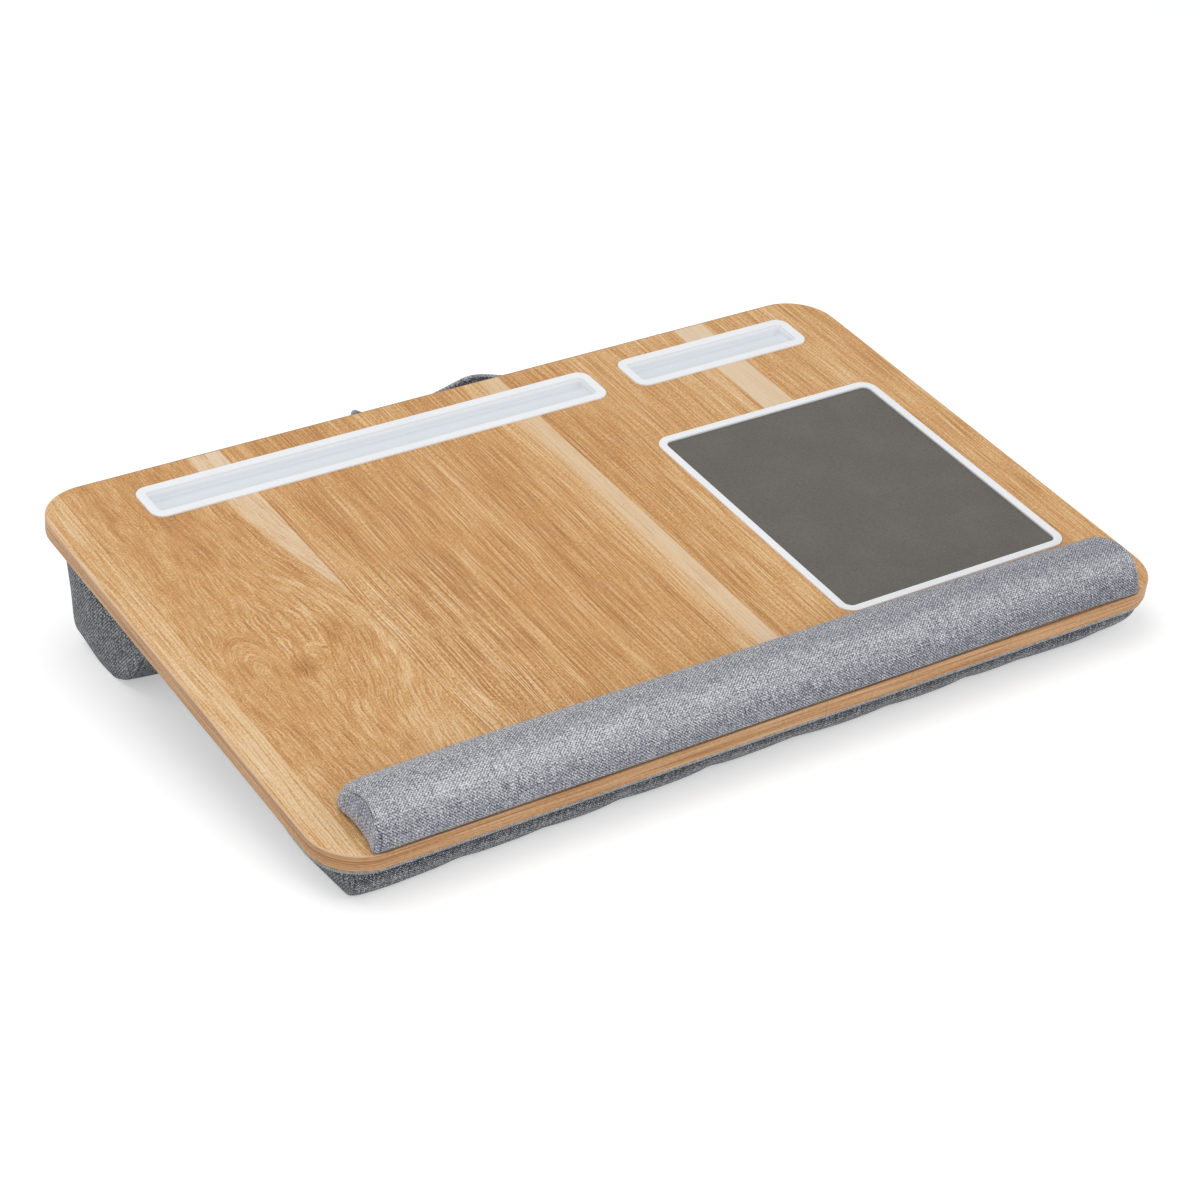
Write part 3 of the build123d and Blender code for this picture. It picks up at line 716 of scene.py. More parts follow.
def hidden_matter():
    """Pale matter of pieces that the finished desk hides."""
    s = Shade("hidden_matter", roughness=0.9, specular=0.2)
    x, v, _ = s.board_place()
    tone = s.noise(x, v, 0.3, 0.3, 1.0, 4.0)
    colour = s.ramp(tone, [(0.3, (150, 148, 142)), (0.7, (196, 194, 188))])
    return s.finish(colour, None, s.bump(tone, 0.1 * MM))


def dress(node, material):
    """Gives a CAD node one material."""
    slots = NODES[node].data.materials
    slots.clear()
    slots.append(material)


# ---- Soft pieces: closed bars of quads with a square end at each side ----
def walked(line):
    """Distance walked along a line up to each of its points."""
    return np.concatenate([[0], np.cumsum(np.linalg.norm(np.diff(line, axis=0), axis=1))])


def evenly(line, steps):
    """Points of an open line, the given number of even steps apart."""
    far = walked(line)
    places = np.linspace(0, far[-1], steps + 1)
    return np.stack([np.interp(places, far, line[:, k]) for k in range(line.shape[1])], axis=1)


def smooth_line(points, count):
    """Smooth curve through all the points but the first and the last, with count steps between two."""
    share = np.linspace(0, 1, count, endpoint=False)[:, None]
    line = []
    for p0, p1, p2, p3 in zip(points, points[1:], points[2:], points[3:]):
        bend = 2 * p0 - 5 * p1 + 4 * p2 - p3
        twist = 3 * (p1 - p2) + p3 - p0
        line.append(0.5 * (2 * p1 + (p2 - p0) * share + bend * share**2 + twist * share**3))
    return np.concatenate(line + [points[-2:-1]])


def closed_curve(points, count):
    """Closed curve through the points, as count points evenly far apart that start at the first one."""
    points = np.array(points, float)
    return evenly(smooth_line(np.concatenate([points[-1:], points, points[:2]]), 16), count)[:-1]


def open_curve(points, steps):
    """Open curve through the points, as points the given number of even steps apart."""
    points = np.array(points, float)
    padded = [2 * points[:1] - points[1:2], points, 2 * points[-1:] - points[-2:-1]]
    return evenly(smooth_line(np.concatenate(padded), 12), steps)


def rounded_line(points, radii):
    """Open line through the points, with its inner corners rounded."""
    points = np.asarray(points, float)
    line = [points[0]]
    steps = np.linspace(0, 1, 9)[:, None]
    for before, corner, after, radius in zip(points, points[1:], points[2:], radii):
        way_in, way_out = corner - before, after - corner
        long_in, long_out = np.linalg.norm(way_in), np.linalg.norm(way_out)
        way_in, way_out = way_in / long_in, way_out / long_out
        turn = math.acos(np.clip(way_in @ way_out, -1, 1))
        cut = min(radius * math.tan(turn / 2), 0.49 * long_in, 0.49 * long_out)
        first, last = corner - cut * way_in, corner + cut * way_out
        line.extend((1 - steps) ** 2 * first + 2 * steps * (1 - steps) * corner + steps**2 * last)
    return np.array(line + [points[-1]])


def taken_in(loop, inset, held=0):
    """Closed loop moved inwards by inset; its last points, held of them, only close up the gap."""
    ahead = np.roll(loop, -1, axis=0) - np.roll(loop, 1, axis=0)
    inward = np.stack([-ahead[:, 1], ahead[:, 0]], axis=1)
    inward /= np.linalg.norm(inward, axis=1)[:, None]
    middle = loop.mean(0)
    if ((middle - loop) * inward).sum() < 0:
        inward = -inward
    moved = loop + inset * inward
    if held:
        start, end = loop[-held - 1], loop[0]
        straight = (end - start) / np.linalg.norm(end - start)
        moved[-held - 1] = start + inset * straight
        moved[0] = end - inset * straight
        shares = np.linspace(0, 1, held + 2)[1:-1, None]
        moved[len(loop) - held :] = moved[-held - 1] * (1 - shares) + moved[0] * shares
    return moved


def end_patch(loop, across):
    """Grid that fills a closed loop, whose first and third sides have across steps."""
    other = len(loop) // 2 - across
    first = loop[: across + 1]
    second = loop[across : across + other + 1]
    third = loop[across + other : 2 * across + other + 1][::-1]
    fourth = np.concatenate([loop[2 * across + other :], loop[:1]])[::-1]
    a = np.linspace(0, 1, across + 1)[:, None, None]
    b = np.linspace(0, 1, other + 1)[None, :, None]
    ruled = first[:, None] * (1 - b) + third[:, None] * b + fourth[None] * (1 - a) + second[None] * a
    near = first[0] * (1 - a) + first[-1] * a
    far = third[0] * (1 - a) + third[-1] * a
    return ruled - near * (1 - b) - far * b


def crown(rows, columns):
    """Grid that rises from 0 along its border to 1 in the middle."""
    return np.outer(1 - np.linspace(-1, 1, rows) ** 2, 1 - np.linspace(-1, 1, columns) ** 2)


def ring_places(near, far, seam_rings, margin, step):
    """Places x of a bar's rings: the sewn ones at both ends and even ones between, margin inside them."""
    edge = np.array([off for off, _ in seam_rings])
    inner = np.linspace(near + margin, far - margin, round((far - near - 2 * margin) / step) + 1)
    return np.concatenate([near + edge, inner, far - edge[::-1]])


def tube(rings, u, v):
    """Faces of a tube of rings and their UVs: u at each ring, v at each point and the first one again."""
    count = len(v) - 1
    faces, uvs = [], []
    for i in range(len(u) - 1):
        for j in range(count):
            k, m = (i + 1) % rings, (j + 1) % count
            faces.append((i * count + j, k * count + j, k * count + m, i * count + m))
            uvs += [(u[i], v[j]), (u[i + 1], v[j]), (u[i + 1], v[j + 1]), (u[i], v[j + 1])]
    return faces, uvs


def make_piece(name, points, faces, uvs, material, body, replaced=()):
    """Mesh piece in the row frame, with its cloth measures as a UV map."""
    mesh = bpy.data.meshes.new(name)
    mesh.from_pydata([tuple(p) for p in points], [], [tuple(f) for f in faces])
    layer = mesh.uv_layers.new(name="cloth")
    layer.uv.foreach_set("vector", np.asarray(uvs, np.float32).ravel())
    mesh.materials.append(material)
    mesh.shade_smooth()
    piece = bpy.data.objects.new(name, mesh)
    bpy.context.scene.collection.objects.link(piece)
    if replaced:
        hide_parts(*replaced)
    if body:
        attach(piece, body)
    return piece


# The end patches lie this far away in the cloth map, so that no crease of the sleeve is drawn on them, and
# their cloth is drawn a little coarser.
PATCH_SHIFT = 2000.0
PATCH_RISE = 25.0
PATCH_SCALE = 0.85


class Bar:
    """Closed soft bar: rings of section points along x, and a patch of quads at each end."""

    def __init__(self, rings, across, bulge, span):
        """rings has a row of points for each station, with a seam in the second and the last but one.

        bulge gives how far each end patch stands out, and span the cloth's length from seam to seam.
        """
        self.rings = rings
        self.span = span
        self.across = across
        self.other = rings.shape[1] // 2 - across
        self.ends = []
        for ring, sign in ((rings[0], -1), (rings[-1], 1)):
            patch = end_patch(ring, across)
            patch[:, :, 0] += sign * bulge * crown(*patch.shape[:2])
            self.ends.append(patch)

    def mesh(self):
        """Points, faces and the UV of each face's corners, all in millimetres."""
        stations, count = self.rings.shape[:2]
        a, b = self.across, self.other
        points = list(self.rings.reshape(-1, 3))
        steps = np.linalg.norm(np.diff(self.rings, axis=0), axis=2).mean(1)
        along = np.concatenate([[0], np.cumsum(steps)]) - steps[0]
        along *= self.span / along[-2]
        middle = self.rings[stations // 2]
        gaps = np.linalg.norm(np.roll(middle, -1, axis=0) - middle, axis=1)
        round_it = np.concatenate([[0], np.cumsum(gaps)])
        faces, uvs = tube(stations, along, round_it)
        for end, patch in enumerate(self.ends):
            base = (stations - 1) * count if end else 0
            index = np.full((a + 1, b + 1), -1)
            border = [(i, 0) for i in range(a)] + [(a, j) for j in range(b)]
            border += [(a - i, b) for i in range(a)] + [(0, b - j) for j in range(b)]
            for j, (row, column) in enumerate(border):
                index[row, column] = base + j
            for row in range(1, a):
                for column in range(1, b):
                    index[row, column] = len(points)
                    points.append(patch[row, column])
            for row in range(a):
                for column in range(b):
                    cells = [(row, column), (row + 1, column), (row + 1, column + 1), (row, column + 1)]
                    if end:
                        cells.reverse()
                    faces.append([index[c] for c in cells])
                    uvs += [PATCH_SCALE * patch[c][1:] + (PATCH_SHIFT, PATCH_RISE) for c in cells]
        return np.array(points), faces, np.array(uvs)


def face_outwards(piece):
    """Turns the faces of a closed piece outwards."""
    made = bmesh.new()
    made.from_mesh(piece.data)
    bmesh.ops.recalc_face_normals(made, faces=made.faces)
    made.to_mesh(piece.data)
    made.free()


def soften(piece):
    """Adds a smooth subdivision."""
    modifier = piece.modifiers.new("smooth", "SUBSURF")
    modifier.levels = modifier.render_levels = 1


def coordinates(mesh):
    """Mesh points, one row each."""
    flat = np.empty(3 * len(mesh.vertices), np.float32)
    mesh.vertices.foreach_get("co", flat)
    return flat.reshape(-1, 3).astype(float)


def place_points(piece, places):
    """Sets the mesh points of a piece to the rows of places."""
    piece.data.vertices.foreach_set("co", places.astype(np.float32).ravel())
    piece.data.update()


SETTLE_FRAMES = 20
CLOTH_QUALITY = 6
CLOTH_STIFFNESS = 15.0
CLOTH_BENDING = 0.4


def settle(piece, held, pressure, cap):
    """Blows a fabric piece up from inside; its held points stay, and none moves beyond cap millimetres."""
    group = piece.vertex_groups.new(name="held")
    group.add([int(i) for i in np.nonzero(held)[0]], 1.0, "REPLACE")
    modifier = piece.modifiers.new("cloth", "CLOTH")
    cloth = modifier.settings
    cloth.quality = CLOTH_QUALITY
    cloth.tension_stiffness = cloth.compression_stiffness = CLOTH_STIFFNESS
    cloth.bending_stiffness = CLOTH_BENDING
    cloth.use_pressure = True
    cloth.uniform_pressure_force = pressure
    cloth.vertex_group_mass = "held"
    cloth.effector_weights.gravity = 0
    modifier.collision_settings.use_self_collision = False
    modifier.point_cache.frame_start = 1
    modifier.point_cache.frame_end = SETTLE_FRAMES
    scene = bpy.context.scene
    for number in range(1, SETTLE_FRAMES + 1):
        scene.frame_set(number)
    evaluated = piece.evaluated_get(bpy.context.evaluated_depsgraph_get())
    settled = coordinates(evaluated.data)
    rest = coordinates(piece.data)
    moved = settled - rest
    length = np.linalg.norm(moved, axis=1)[:, None]
    moved *= np.minimum(1, cap * MM / np.maximum(length, 1e-9))
    piece.modifiers.remove(modifier)
    piece.vertex_groups.remove(group)
    scene.frame_set(1)
    place_points(piece, rest + moved)


def sew(piece, rings, count, depth):
    """Sinks a bar's sewn rings, the second and the last but one, into it by depth millimetres."""
    seams = np.concatenate([np.arange(count) + i * count for i in (1, rings - 2)])
    normals = np.array([v.normal for v in piece.data.vertices])
    change = np.zeros_like(normals)
    change[seams] = -depth * MM * normals[seams]
    place_points(piece, coordinates(piece.data) + change)


# ---- Wrist rest ----
REST_SECTION = [
    (3.4, 0.2), (1.2, 4.4), (1.7, 9.8), (4.6, 14.8), (10.0, 18.5), (17.0, 20.0), (25.0, 19.9), (33.0, 18.0),
    (40.5, 14.8), (46.6, 10.4), (50.6, 5.8), (51.0, 2.0), (48.6, 0.2), (38.0, 0.2), (26.0, 0.2), (14.0, 0.2),
]
REST_ENDS = (24.0, 528.0)
REST_POINTS = 56
REST_FRONT_SIDE = 10
REST_STATION = 4.0
REST_MARGIN = 8.0
REST_SEAM = 0.7
# Length of its cloth from seam to seam.
REST_SPAN = REST_ENDS[1] - REST_ENDS[0] - 2 * REST_SEAM
# Offsets of the rings at a sewn end from the end, and how far each is taken in.
REST_SEAM_RINGS = ((0.0, 1.7), (REST_SEAM, 0.7), (1.5, 0.3), (2.6, 0.1), (4.2, 0.0))
REST_BULGE = 1.3
# Distance v of the front foot at places along the board.
REST_FOOT = (
    (24, 1.0), (40, 1.4), (70, 1.2), (108, 1.5), (157, 1.3), (221, 1.5), (305, 1.3), (356, 1.0), (428, 1.7),
    (464, 2.1), (500, 2.1), (516, 1.1), (528, 0.6),
)
# Outline of each end on the board, x by v, and how far the end leans inwards at the top.
REST_OUTLINES = (
    ((0, 22.2), (4, 23.2), (10, 24.7), (18, 25.7), (27, 25.8), (32, 25.2), (37, 24.2), (52, 24.2)),
    ((0, 525.5), (5, 527.5), (12, 530.0), (22, 531.5), (33, 531.5), (42, 530.0), (50, 526.5)),
)
REST_LEANS = (1.0, -2.8)
REST_HEIGHT = 20.0
# How far along x the ends' outlines are still felt.
REST_END_REACH = 10.0
# How far the back of the sleeve is drawn forward at distances from its left end.
REST_BACK_CORNER = (
    (0.0, 9.8), (0.7, 8.5), (1.5, 7.3), (2.6, 6.0), (4.2, 4.5), (8.0, 2.1), (12.0, 0.7), (16.0, 0.0),
)
# Place v behind which the back is drawn forward, place before which the foot moves the section, and the
# lowest w of it.
REST_MIDDLE = 20.0
REST_FOOT_REACH = 24.0
REST_BOTTOM = 0.2


def rest_end(side, v, w):
    """Place x of the wrist rest's left or right end, side 0 or 1, at places v and w of its section."""
    return np.interp(v, *zip(*REST_OUTLINES[side])) + REST_LEANS[side] * w / REST_HEIGHT


def wrist_rest():
    """Wrist rest: a foam bar in a cloth sleeve with sewn ends."""
    loop = closed_curve(REST_SECTION, REST_POINTS)
    near, far = REST_ENDS
    stations = ring_places(near, far, REST_SEAM_RINGS, REST_MARGIN, REST_STATION)
    rings = np.zeros((len(stations), REST_POINTS, 3))
    back = loop[:, 0].max() - REST_MIDDLE
    for ring, x in zip(rings, stations):
        off = min(x - near, far - x)
        section = taken_in(loop, np.interp(off, *zip(*REST_SEAM_RINGS)))
        foot = np.interp(x, *zip(*REST_FOOT)) - REST_SECTION[0][0]
        section[:, 0] += foot * np.clip(1 - section[:, 0] / REST_FOOT_REACH, 0, 1)
        drawn = np.interp(x - near, *zip(*REST_BACK_CORNER))
        section[:, 0] -= drawn * np.clip((section[:, 0] - REST_MIDDLE) / back, 0, 1)
        section[:, 1] = np.maximum(section[:, 1], REST_BOTTOM)
        v, w = section.T
        left, right = rest_end(0, v, w) - near, rest_end(1, v, w) - far
        left = left * math.exp((near - x) / REST_END_REACH)
        ring[:, 0] = x + left + right * math.exp((x - far) / REST_END_REACH)
        ring[:, 1:] = section
    bar = Bar(rings, REST_FRONT_SIDE, 0.0, REST_SPAN)
    for side, patch in enumerate(bar.ends):
        bulge = (2 * side - 1) * REST_BULGE * crown(*patch.shape[:2])
        patch[:, :, 0] = rest_end(side, patch[:, :, 1], patch[:, :, 2]) + bulge
    points, faces, uvs = bar.mesh()
    piece = make_piece(
        "wrist_rest", on_board(points), faces, uvs * MM, grey_twill_material, "desk",
        ("wrist_rest_cover", "wrist_rest_foam", "wrist_rest_backer"),
    )
    face_outwards(piece)
    settle(piece, points[:, 2] < 0.5, pressure=3.0, cap=1.6)
    sew(piece, len(stations), REST_POINTS, depth=0.25)
    soften(piece)


# ---- Cushion ----
BOLSTER_SEAM = 0.9
BOLSTER_STATION = 5.0
BOLSTER_MARGIN = 11.0
# Length of its cloth from seam to seam.
CUSHION_SPAN = CUSHION_RIGHT - CUSHION_LEFT - 2 * BOLSTER_SEAM
# Offsets of the rings at a sewn end from the end, and how far each is taken in.
FRONT_SEAM_RINGS = ((0.0, 0.2), (BOLSTER_SEAM, 0.4), (1.9, 0.15), (3.4, 0.1), (6.0, 0.0))
REAR_SEAM_RINGS = ((0.0, 1.0), (BOLSTER_SEAM, 0.5), (1.9, 0.2), (3.4, 0.1), (6.0, 0.0))
# How far the left and the right end of the front bolster lie inside the cushion's.
FRONT_END_INSETS = (2.4, 0.8)
FRONT_SPAN = (3.0, 133.5)
FRONT_FOOT = ((11, 60), (30, 66), (60, 78), (110, 84), (440, 84), (500, 74), (539, 50))
# Height of the front face's lower contour, where it is seen 5 mm behind the board's front edge.
FRONT_HEM = (
    (11, 6.6), (20, 4.8), (34, 4.1), (57, 4.8), (105, 5.7), (154, 6.0), (204, 7.0), (256, 8.0), (282, 8.4),
    (320, 7.2), (379, 7.2), (436, 7.8), (490, 7.0), (505, 7.4), (516, 8.6), (526, 10.2), (539, 11.4),
)
FRONT_HEM_BEHIND = 2.0
# Rounding behind the front bolster's foot at distances from the cushion's ends.
FRONT_ROUNDING = ((0.0, 20.0), (30.0, 50.0))
# Puckers of the lower front: x and depth, their reach along x, how far back they go, how far under the panel
# they are at full depth, and the way the cloth moves in them, backwards and up.
PUCKERS = (
    (77, 1.9), (128, 1.4), (176, 2.2), (233, 2.1), (290, 1.2), (352, 1.5), (407, 1.9), (446, 0.9), (506, 1.4),
)
PUCKER_REACH = 8.0
PUCKER_DEPTH = 40.0
PUCKER_TOP = 9.0
PUCKER_WAY = (0.54, 0.84)
FRONT_CORNER_ROUNDING = 18.0
REAR_SPAN = (184.0, 338.0)
# The bolsters stay this far under the panel, in metres.
PANEL_GAP = 0.0001
# Corners of the rear bolster's hanging line between its front top corner and its heel, with their roundings.
REAR_BELLY = ((227.0, 38.0), (258.0, 8.0), (290.0, 0.0))
REAR_END_BELLY = ((230.0, 42.0), (259.0, 4.5), (292.0, -6.0))
REAR_ROUNDING = 60.0
# The heel at an end, against that at the middle: forward and up, with its rounding, over this stretch of x.
REAR_END_HEEL = (0.5, 8.0, 10.0)
REAR_HEEL_ROUNDING = 28.0
REAR_END_STRETCH = 32.0


# The carry strap, whose ends the back of the rear bolster and its own stitches follow.
STRAP_WIDTH = 25.0
STRAP_THICKNESS = 2.2
# Middle line of the strap in plan: x, y and the height of its top rim.
STRAP_LINE = [
    (183.5, 339.2, 64.4), (190.0, 339.2, 64.4), (196.4, 339.6, 64.6), (201.8, 342.6, 65.8),
    (206.8, 348.6, 68.8), (211.4, 356.6, 72.6), (215.8, 365.4, 75.9), (219.6, 371.8, 77.5),
    (224.0, 375.4, 76.2), (230.0, 377.6, 72.2), (240.0, 379.0, 68.8), (254.0, 379.4, 68.0),
    (268.0, 379.4, 68.8), (278.0, 379.4, 70.8), (287.4, 379.4, 73.0), (296.3, 379.4, 75.2),
    (304.2, 379.2, 76.9), (311.0, 378.8, 77.1), (317.0, 377.6, 76.4), (324.6, 374.4, 75.2),
    (331.6, 369.2, 74.4), (337.6, 362.0, 72.6), (343.0, 353.6, 69.8), (348.2, 345.4, 66.8),
    (352.6, 340.2, 65.0), (359.0, 339.2, 64.4), (365.5, 339.2, 64.4),
]
# Middle of each box of stitches from the strap's end, and half its sides.
STITCH_MIDDLE = 6.5
STITCH_HALF = (4.5, 9.8)
# Where along x its ends lie on the cushion, how deep the cloth is drawn in there, and how far round.
STRAP_SEATS = ((182.0, 200.0), (349.0, 367.0))
STRAP_DIMPLE = 3.0
STRAP_DIMPLE_REACH = 14.0


def underside(y):
    """Height of the panel's lower face over the floor at cushion measure y."""
    return BOARD_CORNER[2] / MM + PANEL_BOTTOM / math.cos(BOARD_TILT) + math.tan(BOARD_TILT) * y


def front_section(x):
    """Hanging line of the front bolster from its front top corner to its back one."""
    start, end = FRONT_SPAN
    over = x - (CUSHION_RIGHT - FRONT_CORNER_ROUNDING)
    if over > 0:
        start += FRONT_CORNER_ROUNDING - math.sqrt(max(FRONT_CORNER_ROUNDING**2 - over**2, 0))
    height = underside(start)
    hem = min(np.interp(x, *zip(*FRONT_HEM)), 0.9 * height)
    foot = np.interp(x, *zip(*FRONT_FOOT))
    reach = min(FRONT_HEM_BEHIND / (1 - math.sqrt(hem / height)) ** 2, foot - start - 2)
    steps = np.linspace(0, 1, 13)[:, None]
    toe = np.array([[start, 0]]) + np.concatenate([reach * steps**2, height * (1 - steps) ** 2], axis=1)
    rounding = np.interp(min(x - CUSHION_LEFT, CUSHION_RIGHT - x), *zip(*FRONT_ROUNDING))
    rest = rounded_line([toe[-1], (foot, 0), (end, underside(end))], [rounding])
    return np.concatenate([toe, rest[1:]])


def gather(piece):
    """Draws the lower front of the front bolster in along its puckers."""
    places = (coordinates(piece.data) - FLOOR_CORNER) / MM
    x, y, z = places.T
    drawn = sum(h * np.exp(-np.abs(x - p) / PUCKER_REACH) for p, h in PUCKERS)
    low = np.clip((underside(y) - z) / PUCKER_TOP, 0, 1)
    share = np.clip(1 - (y - FRONT_SPAN[0]) / PUCKER_DEPTH, 0, 1) * low
    change = np.zeros_like(places)
    change[:, 1:] = np.outer(drawn * share * MM, PUCKER_WAY)
    place_points(piece, coordinates(piece.data) + change)


def rear_section(x):
    """Hanging line of the rear bolster from its front top corner to its back one."""
    start, end = REAR_SPAN
    forward, up, rounding = REAR_END_HEEL
    share = np.clip(1 - min(x - CUSHION_LEFT, CUSHION_RIGHT - x) / REAR_END_STRETCH, 0, 1) ** 2
    heel = (end - forward * share, up * share)
    back = end - forward * share
    belly = np.array(REAR_BELLY) * (1 - share) + np.array(REAR_END_BELLY) * share
    corners = [(start, underside(start)), *belly, heel, (back, underside(back))]
    roundings = [REAR_ROUNDING] * 3 + [REAR_HEEL_ROUNDING * (1 - share) + rounding * share]
    return rounded_line(corners, roundings)


def flatten(piece):
    """Draws the back of the rear bolster flat behind the strap's sewn ends."""
    places = (coordinates(piece.data) - FLOOR_CORNER) / MM
    x, y, z = places.T
    high = STRAP_LINE[0][2]
    beside = np.min([np.maximum(np.maximum(near - x, x - far), 0) for near, far in STRAP_SEATS], axis=0)
    beyond = np.hypot(beside, np.maximum(np.maximum(high - STRAP_WIDTH - z, z - high), 0))
    limit = REAR_SPAN[1] - 0.2 + STRAP_DIMPLE * np.clip(beyond / STRAP_DIMPLE_REACH, 0, 1) ** 1.5
    change = np.zeros_like(places)
    change[:, 1] = np.where(y > REAR_SPAN[1] - 8, np.minimum(y, limit) - y, 0) * MM
    place_points(piece, coordinates(piece.data) + change)


def bolster(name, section, ends, seam_rings, across, other, bulge, replaced, pressure, cap):
    """Stuffed bolster under the panel, sewn along its ends."""
    near, far = ends
    stations = ring_places(near, far, seam_rings, BOLSTER_MARGIN, BOLSTER_STATION)
    count = 2 * (across + other)
    rings = np.zeros((len(stations), count, 3))
    for ring, x in zip(rings, stations):
        hanging = evenly(section(x), 2 * across + other)
        shares = np.linspace(0, 1, other + 1)[1:-1, None]
        top = hanging[-1] * (1 - shares) + hanging[0] * shares
        off = min(x - near, far - x)
        loop = taken_in(np.concatenate([hanging, top]), np.interp(off, *zip(*seam_rings)), other - 1)
        loop[:, 1] = np.minimum(loop[:, 1], underside(loop[:, 0]))
        ring[:, 0] = x
        ring[:, 1:] = loop
    points, faces, uvs = Bar(rings, across, bulge, CUSHION_SPAN).mesh()
    piece = make_piece(
        name, over_floor(points), faces, uvs * MM, heather_material, "desk", replaced,
    )
    face_outwards(piece)
    settle(piece, points[:, 2] > underside(points[:, 1]) - 0.4, pressure, cap)
    sew(piece, len(stations), count, depth=0.3)
    if section is front_section:
        gather(piece)
    else:
        flatten(piece)
    places = coordinates(piece.data)
    panel = MM * underside((places[:, 1] - FLOOR_CORNER[1]) / MM) - PANEL_GAP
    places[:, 2] = np.minimum(np.maximum(places[:, 2], 0.0), panel)
    place_points(piece, places)
    soften(piece)


# How far the middle of the tape lies inside the board's edge, and how much further along the back and the
# sides, from the first to the second of these places v on.
PIPING_CENTRE = 2.3
PIPING_FURTHER = 2.3
PIPING_TURN = (45.0, 75.0)
# Half of its width and height, the squareness of its section and the points round it, and its measure in the
# cloth map from one to the next.
PIPING_HALF = (1.7, 1.4)
PIPING_SQUARENESS = 0.6
PIPING_POINTS = 12
PIPING_POINT_STEP = 0.7
PIPING_STATION = 4.0
BOARD_CORNER_RADIUS = 30.0


def piping():
    """Ribbed tape that covers the top seam of the cushion all round."""
    radius = BOARD_CORNER_RADIUS - PIPING_CENTRE
    near = BOARD_CORNER_RADIUS
    right, back = BOARD_WIDTH - BOARD_CORNER_RADIUS, BOARD_DEPTH - BOARD_CORNER_RADIUS
    path = []
    corners = ((right, near), (right, back), (near, back), (near, near))
    for middle, start in zip(np.array(corners), (-90, 0, 90, 180)):
        for angle in np.radians(np.linspace(start, start + 90, 17)):
            path.append(middle + radius * np.array([math.cos(angle), math.sin(angle)]))
    path = np.array(path + path[:1])
    length = walked(path)[-1]
    steps = round(length / PIPING_STATION)
    path = evenly(path, steps)[:-1]
    ahead = np.roll(path, -1, axis=0) - np.roll(path, 1, axis=0)
    ahead /= np.linalg.norm(ahead, axis=1)[:, None]
    outward = np.stack([ahead[:, 1], -ahead[:, 0]], axis=1)
    path = path - outward * np.interp(path[:, 1], PIPING_TURN, (0, PIPING_FURTHER))[:, None]
    half_width, half_height = PIPING_HALF
    round_angles = np.linspace(0, 2 * math.pi, PIPING_POINTS, endpoint=False)
    level = BOARD_BOTTOM - half_height
    points = []
    for centre, out in zip(path, outward):
        for angle in round_angles:
            across, rise = math.cos(angle), math.sin(angle)
            across = half_width * math.copysign(abs(across) ** PIPING_SQUARENESS, across)
            rise = half_height * math.copysign(abs(rise) ** PIPING_SQUARENESS, rise)
            points.append((*(centre + out * across), level + rise))
    u = np.arange(steps + 1) * length / steps
    faces, uvs = tube(steps, u, np.arange(PIPING_POINTS + 1) * PIPING_POINT_STEP)
    piece = make_piece(
        "piping", on_board(points), faces, np.array(uvs) * MM, piping_material, "desk",
        ("cushion_piping",),
    )
    face_outwards(piece)
    soften(piece)


# The web's drop under the panel, its sag, its ripple as a height and two lengths along x, its points along x
# and y, and its thickness.
WEB_DROP = 0.6
WEB_SAG = 1.2
WEB_RIPPLE = (0.25, 9.0, 31.0)
WEB_POINTS = (133, 15)
WEB_THICKNESS = 0.7


def web():
    """Fabric between the bolsters, stretched under the panel."""
    near, far = FRONT_SPAN[1], REAR_SPAN[0]
    columns, rows = WEB_POINTS
    height, short, long = WEB_RIPPLE
    places_x = np.linspace(CUSHION_LEFT + 1, CUSHION_RIGHT - 1, columns)
    places_y = np.linspace(near - 1, far + 1, rows)
    points, faces, uvs = [], [], []
    for y in places_y:
        share = (y - places_y[0]) / (places_y[-1] - places_y[0])
        hang = 4 * share * (1 - share)
        for x in places_x:
            ripple = height * math.sin(x / short) * math.sin(x / long + 1) * hang
            points.append((x, y, underside(y) - WEB_DROP - WEB_SAG * hang + ripple))
    for i in range(rows - 1):
        for j in range(columns - 1):
            cells = [(i, j), (i, j + 1), (i + 1, j + 1), (i + 1, j)]
            faces.append([r * columns + c for r, c in cells])
            uvs += [(places_x[c] + PATCH_SHIFT, places_y[r]) for r, c in cells]
    piece = make_piece(
        "cushion_underside", over_floor(points), faces, np.array(uvs) * MM, heather_material, "desk",
        ("cushion_web",),
    )
    thick = piece.modifiers.new("thickness", "SOLIDIFY")
    thick.thickness = WEB_THICKNESS * MM
    thick.offset = 0


# ---- Carry strap ----
STRAP_STEPS = 110
STRAP_PATH = open_curve(STRAP_LINE, STRAP_STEPS)
STRAP_WALKED = walked(STRAP_PATH)
STRAP_LENGTH = STRAP_WALKED[-1]
# Steps of its rounded profile up one side, how thick its woven rim and its very edge are against half of its
# thickness, and how high the rim is.
STRAP_ROWS = 10
STRAP_RIM_SWELL = 1.25
STRAP_EDGE_SWELL = 0.6
STRAP_RIM = 2.6
# It leans out by up to STRAP_LEAN degrees, from the cushion's back on over STRAP_LEAN_REACH millimetres.
STRAP_LEAN = 20.0
STRAP_LEAN_START = 339.0
STRAP_LEAN_REACH = 40.0


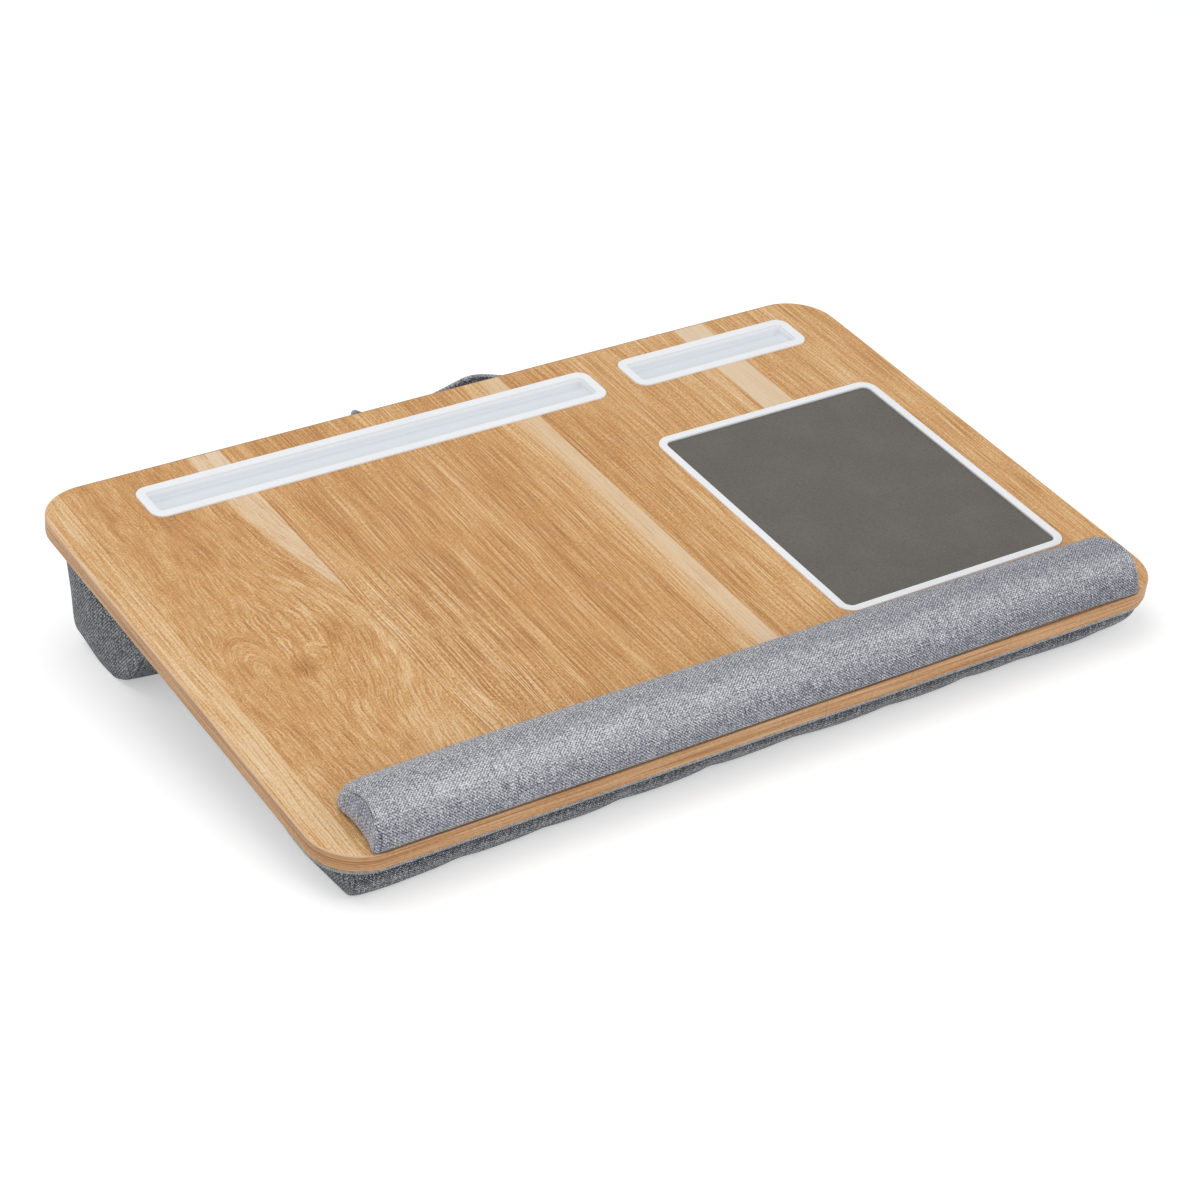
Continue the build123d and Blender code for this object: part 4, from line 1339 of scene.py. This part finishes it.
def carry_strap():
    """Webbing strap, sewn flat to the back of the cushion at both ends."""
    line = STRAP_PATH
    ahead = np.gradient(line[:, :2], axis=0)
    ahead /= np.linalg.norm(ahead, axis=1)[:, None]
    outward = np.stack([-ahead[:, 1], ahead[:, 0]], axis=1)
    half = STRAP_THICKNESS / 2
    profile = []
    heights = np.linspace(0, 1, STRAP_ROWS + 1)
    for side, order in ((1, heights), (-1, heights[::-1])):
        for share in order:
            edge = min(share, 1 - share) * STRAP_WIDTH
            swell = 1.0 if edge > STRAP_RIM else STRAP_RIM_SWELL
            if edge == 0:
                swell = STRAP_EDGE_SWELL
            profile.append((side * half * swell, share))
    count = len(profile)
    points = []
    for (x, y, rim), out in zip(line, outward):
        lean = math.radians(STRAP_LEAN) * np.clip((y - STRAP_LEAN_START) / STRAP_LEAN_REACH, 0, 1)
        for across, share in profile:
            down = (1 - share) * STRAP_WIDTH
            place = np.array([x, y]) + out * (across - 0.5 * down * math.sin(lean))
            points.append((*place, rim - down * math.cos(lean)))
    v = [share * STRAP_WIDTH for _, share in profile]
    faces, uvs = tube(len(line), STRAP_WALKED, v + v[:1])
    for station in (0, len(line) - 1):
        for j in range(STRAP_ROWS):
            cells = [j, j + 1, count - 2 - j, count - 1 - j]
            faces.append([station * count + c for c in cells])
            uvs += [(STRAP_WALKED[station], v[c]) for c in cells]
    piece = make_piece(
        "strap", over_floor(points), faces, np.array(uvs) * MM, strap_material, None,
        ("carry_strap", "strap_anchor_left", "strap_anchor_right"),
    )
    face_outwards(piece)
    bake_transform(piece)


grey_twill_material = grey_twill()
heather_material = grey_heather()
plastic_material = white_plastic()
hidden_material = hidden_matter()
piping_material = light_piping()
strap_material = grey_strap()
for node, material in {
    "oak_laminate": oak_top(),
    "edge_band": oak_edge(),
    "backing_laminate": backing(),
    "tablet_tray": plastic_material,
    "pen_tray": plastic_material,
    "mouse_pad_frame": plastic_material,
    "mouse_pad": taupe_leather(),
    "board_core": hidden_material,
    "mouse_pad_foam": hidden_material,
    "wrist_rest_tape": hidden_material,
    "panel_tapes": hidden_material,
    "cushion_panel": hidden_material,
}.items():
    dress(node, material)

make_camera()
make_world()
make_floor()
for lamp_settings in LAMPS:
    area_lamp(*lamp_settings)
bpy.context.scene.view_settings.view_transform = "Standard"
wrist_rest()
bolster(
    "front_bolster", front_section, (CUSHION_LEFT + FRONT_END_INSETS[0], CUSHION_RIGHT - FRONT_END_INSETS[1]),
    FRONT_SEAM_RINGS, across=5, other=22, bulge=0.8,
    replaced=("front_bolster_cover", "front_bolster_fill"), pressure=3.0, cap=1.2,
)
bolster(
    "rear_bolster", rear_section, (CUSHION_LEFT, CUSHION_RIGHT),
    REAR_SEAM_RINGS, across=12, other=22, bulge=1.2,
    replaced=("rear_bolster_cover", "rear_bolster_fill"), pressure=4.0, cap=2.5,
)
piping()
web()
carry_strap()
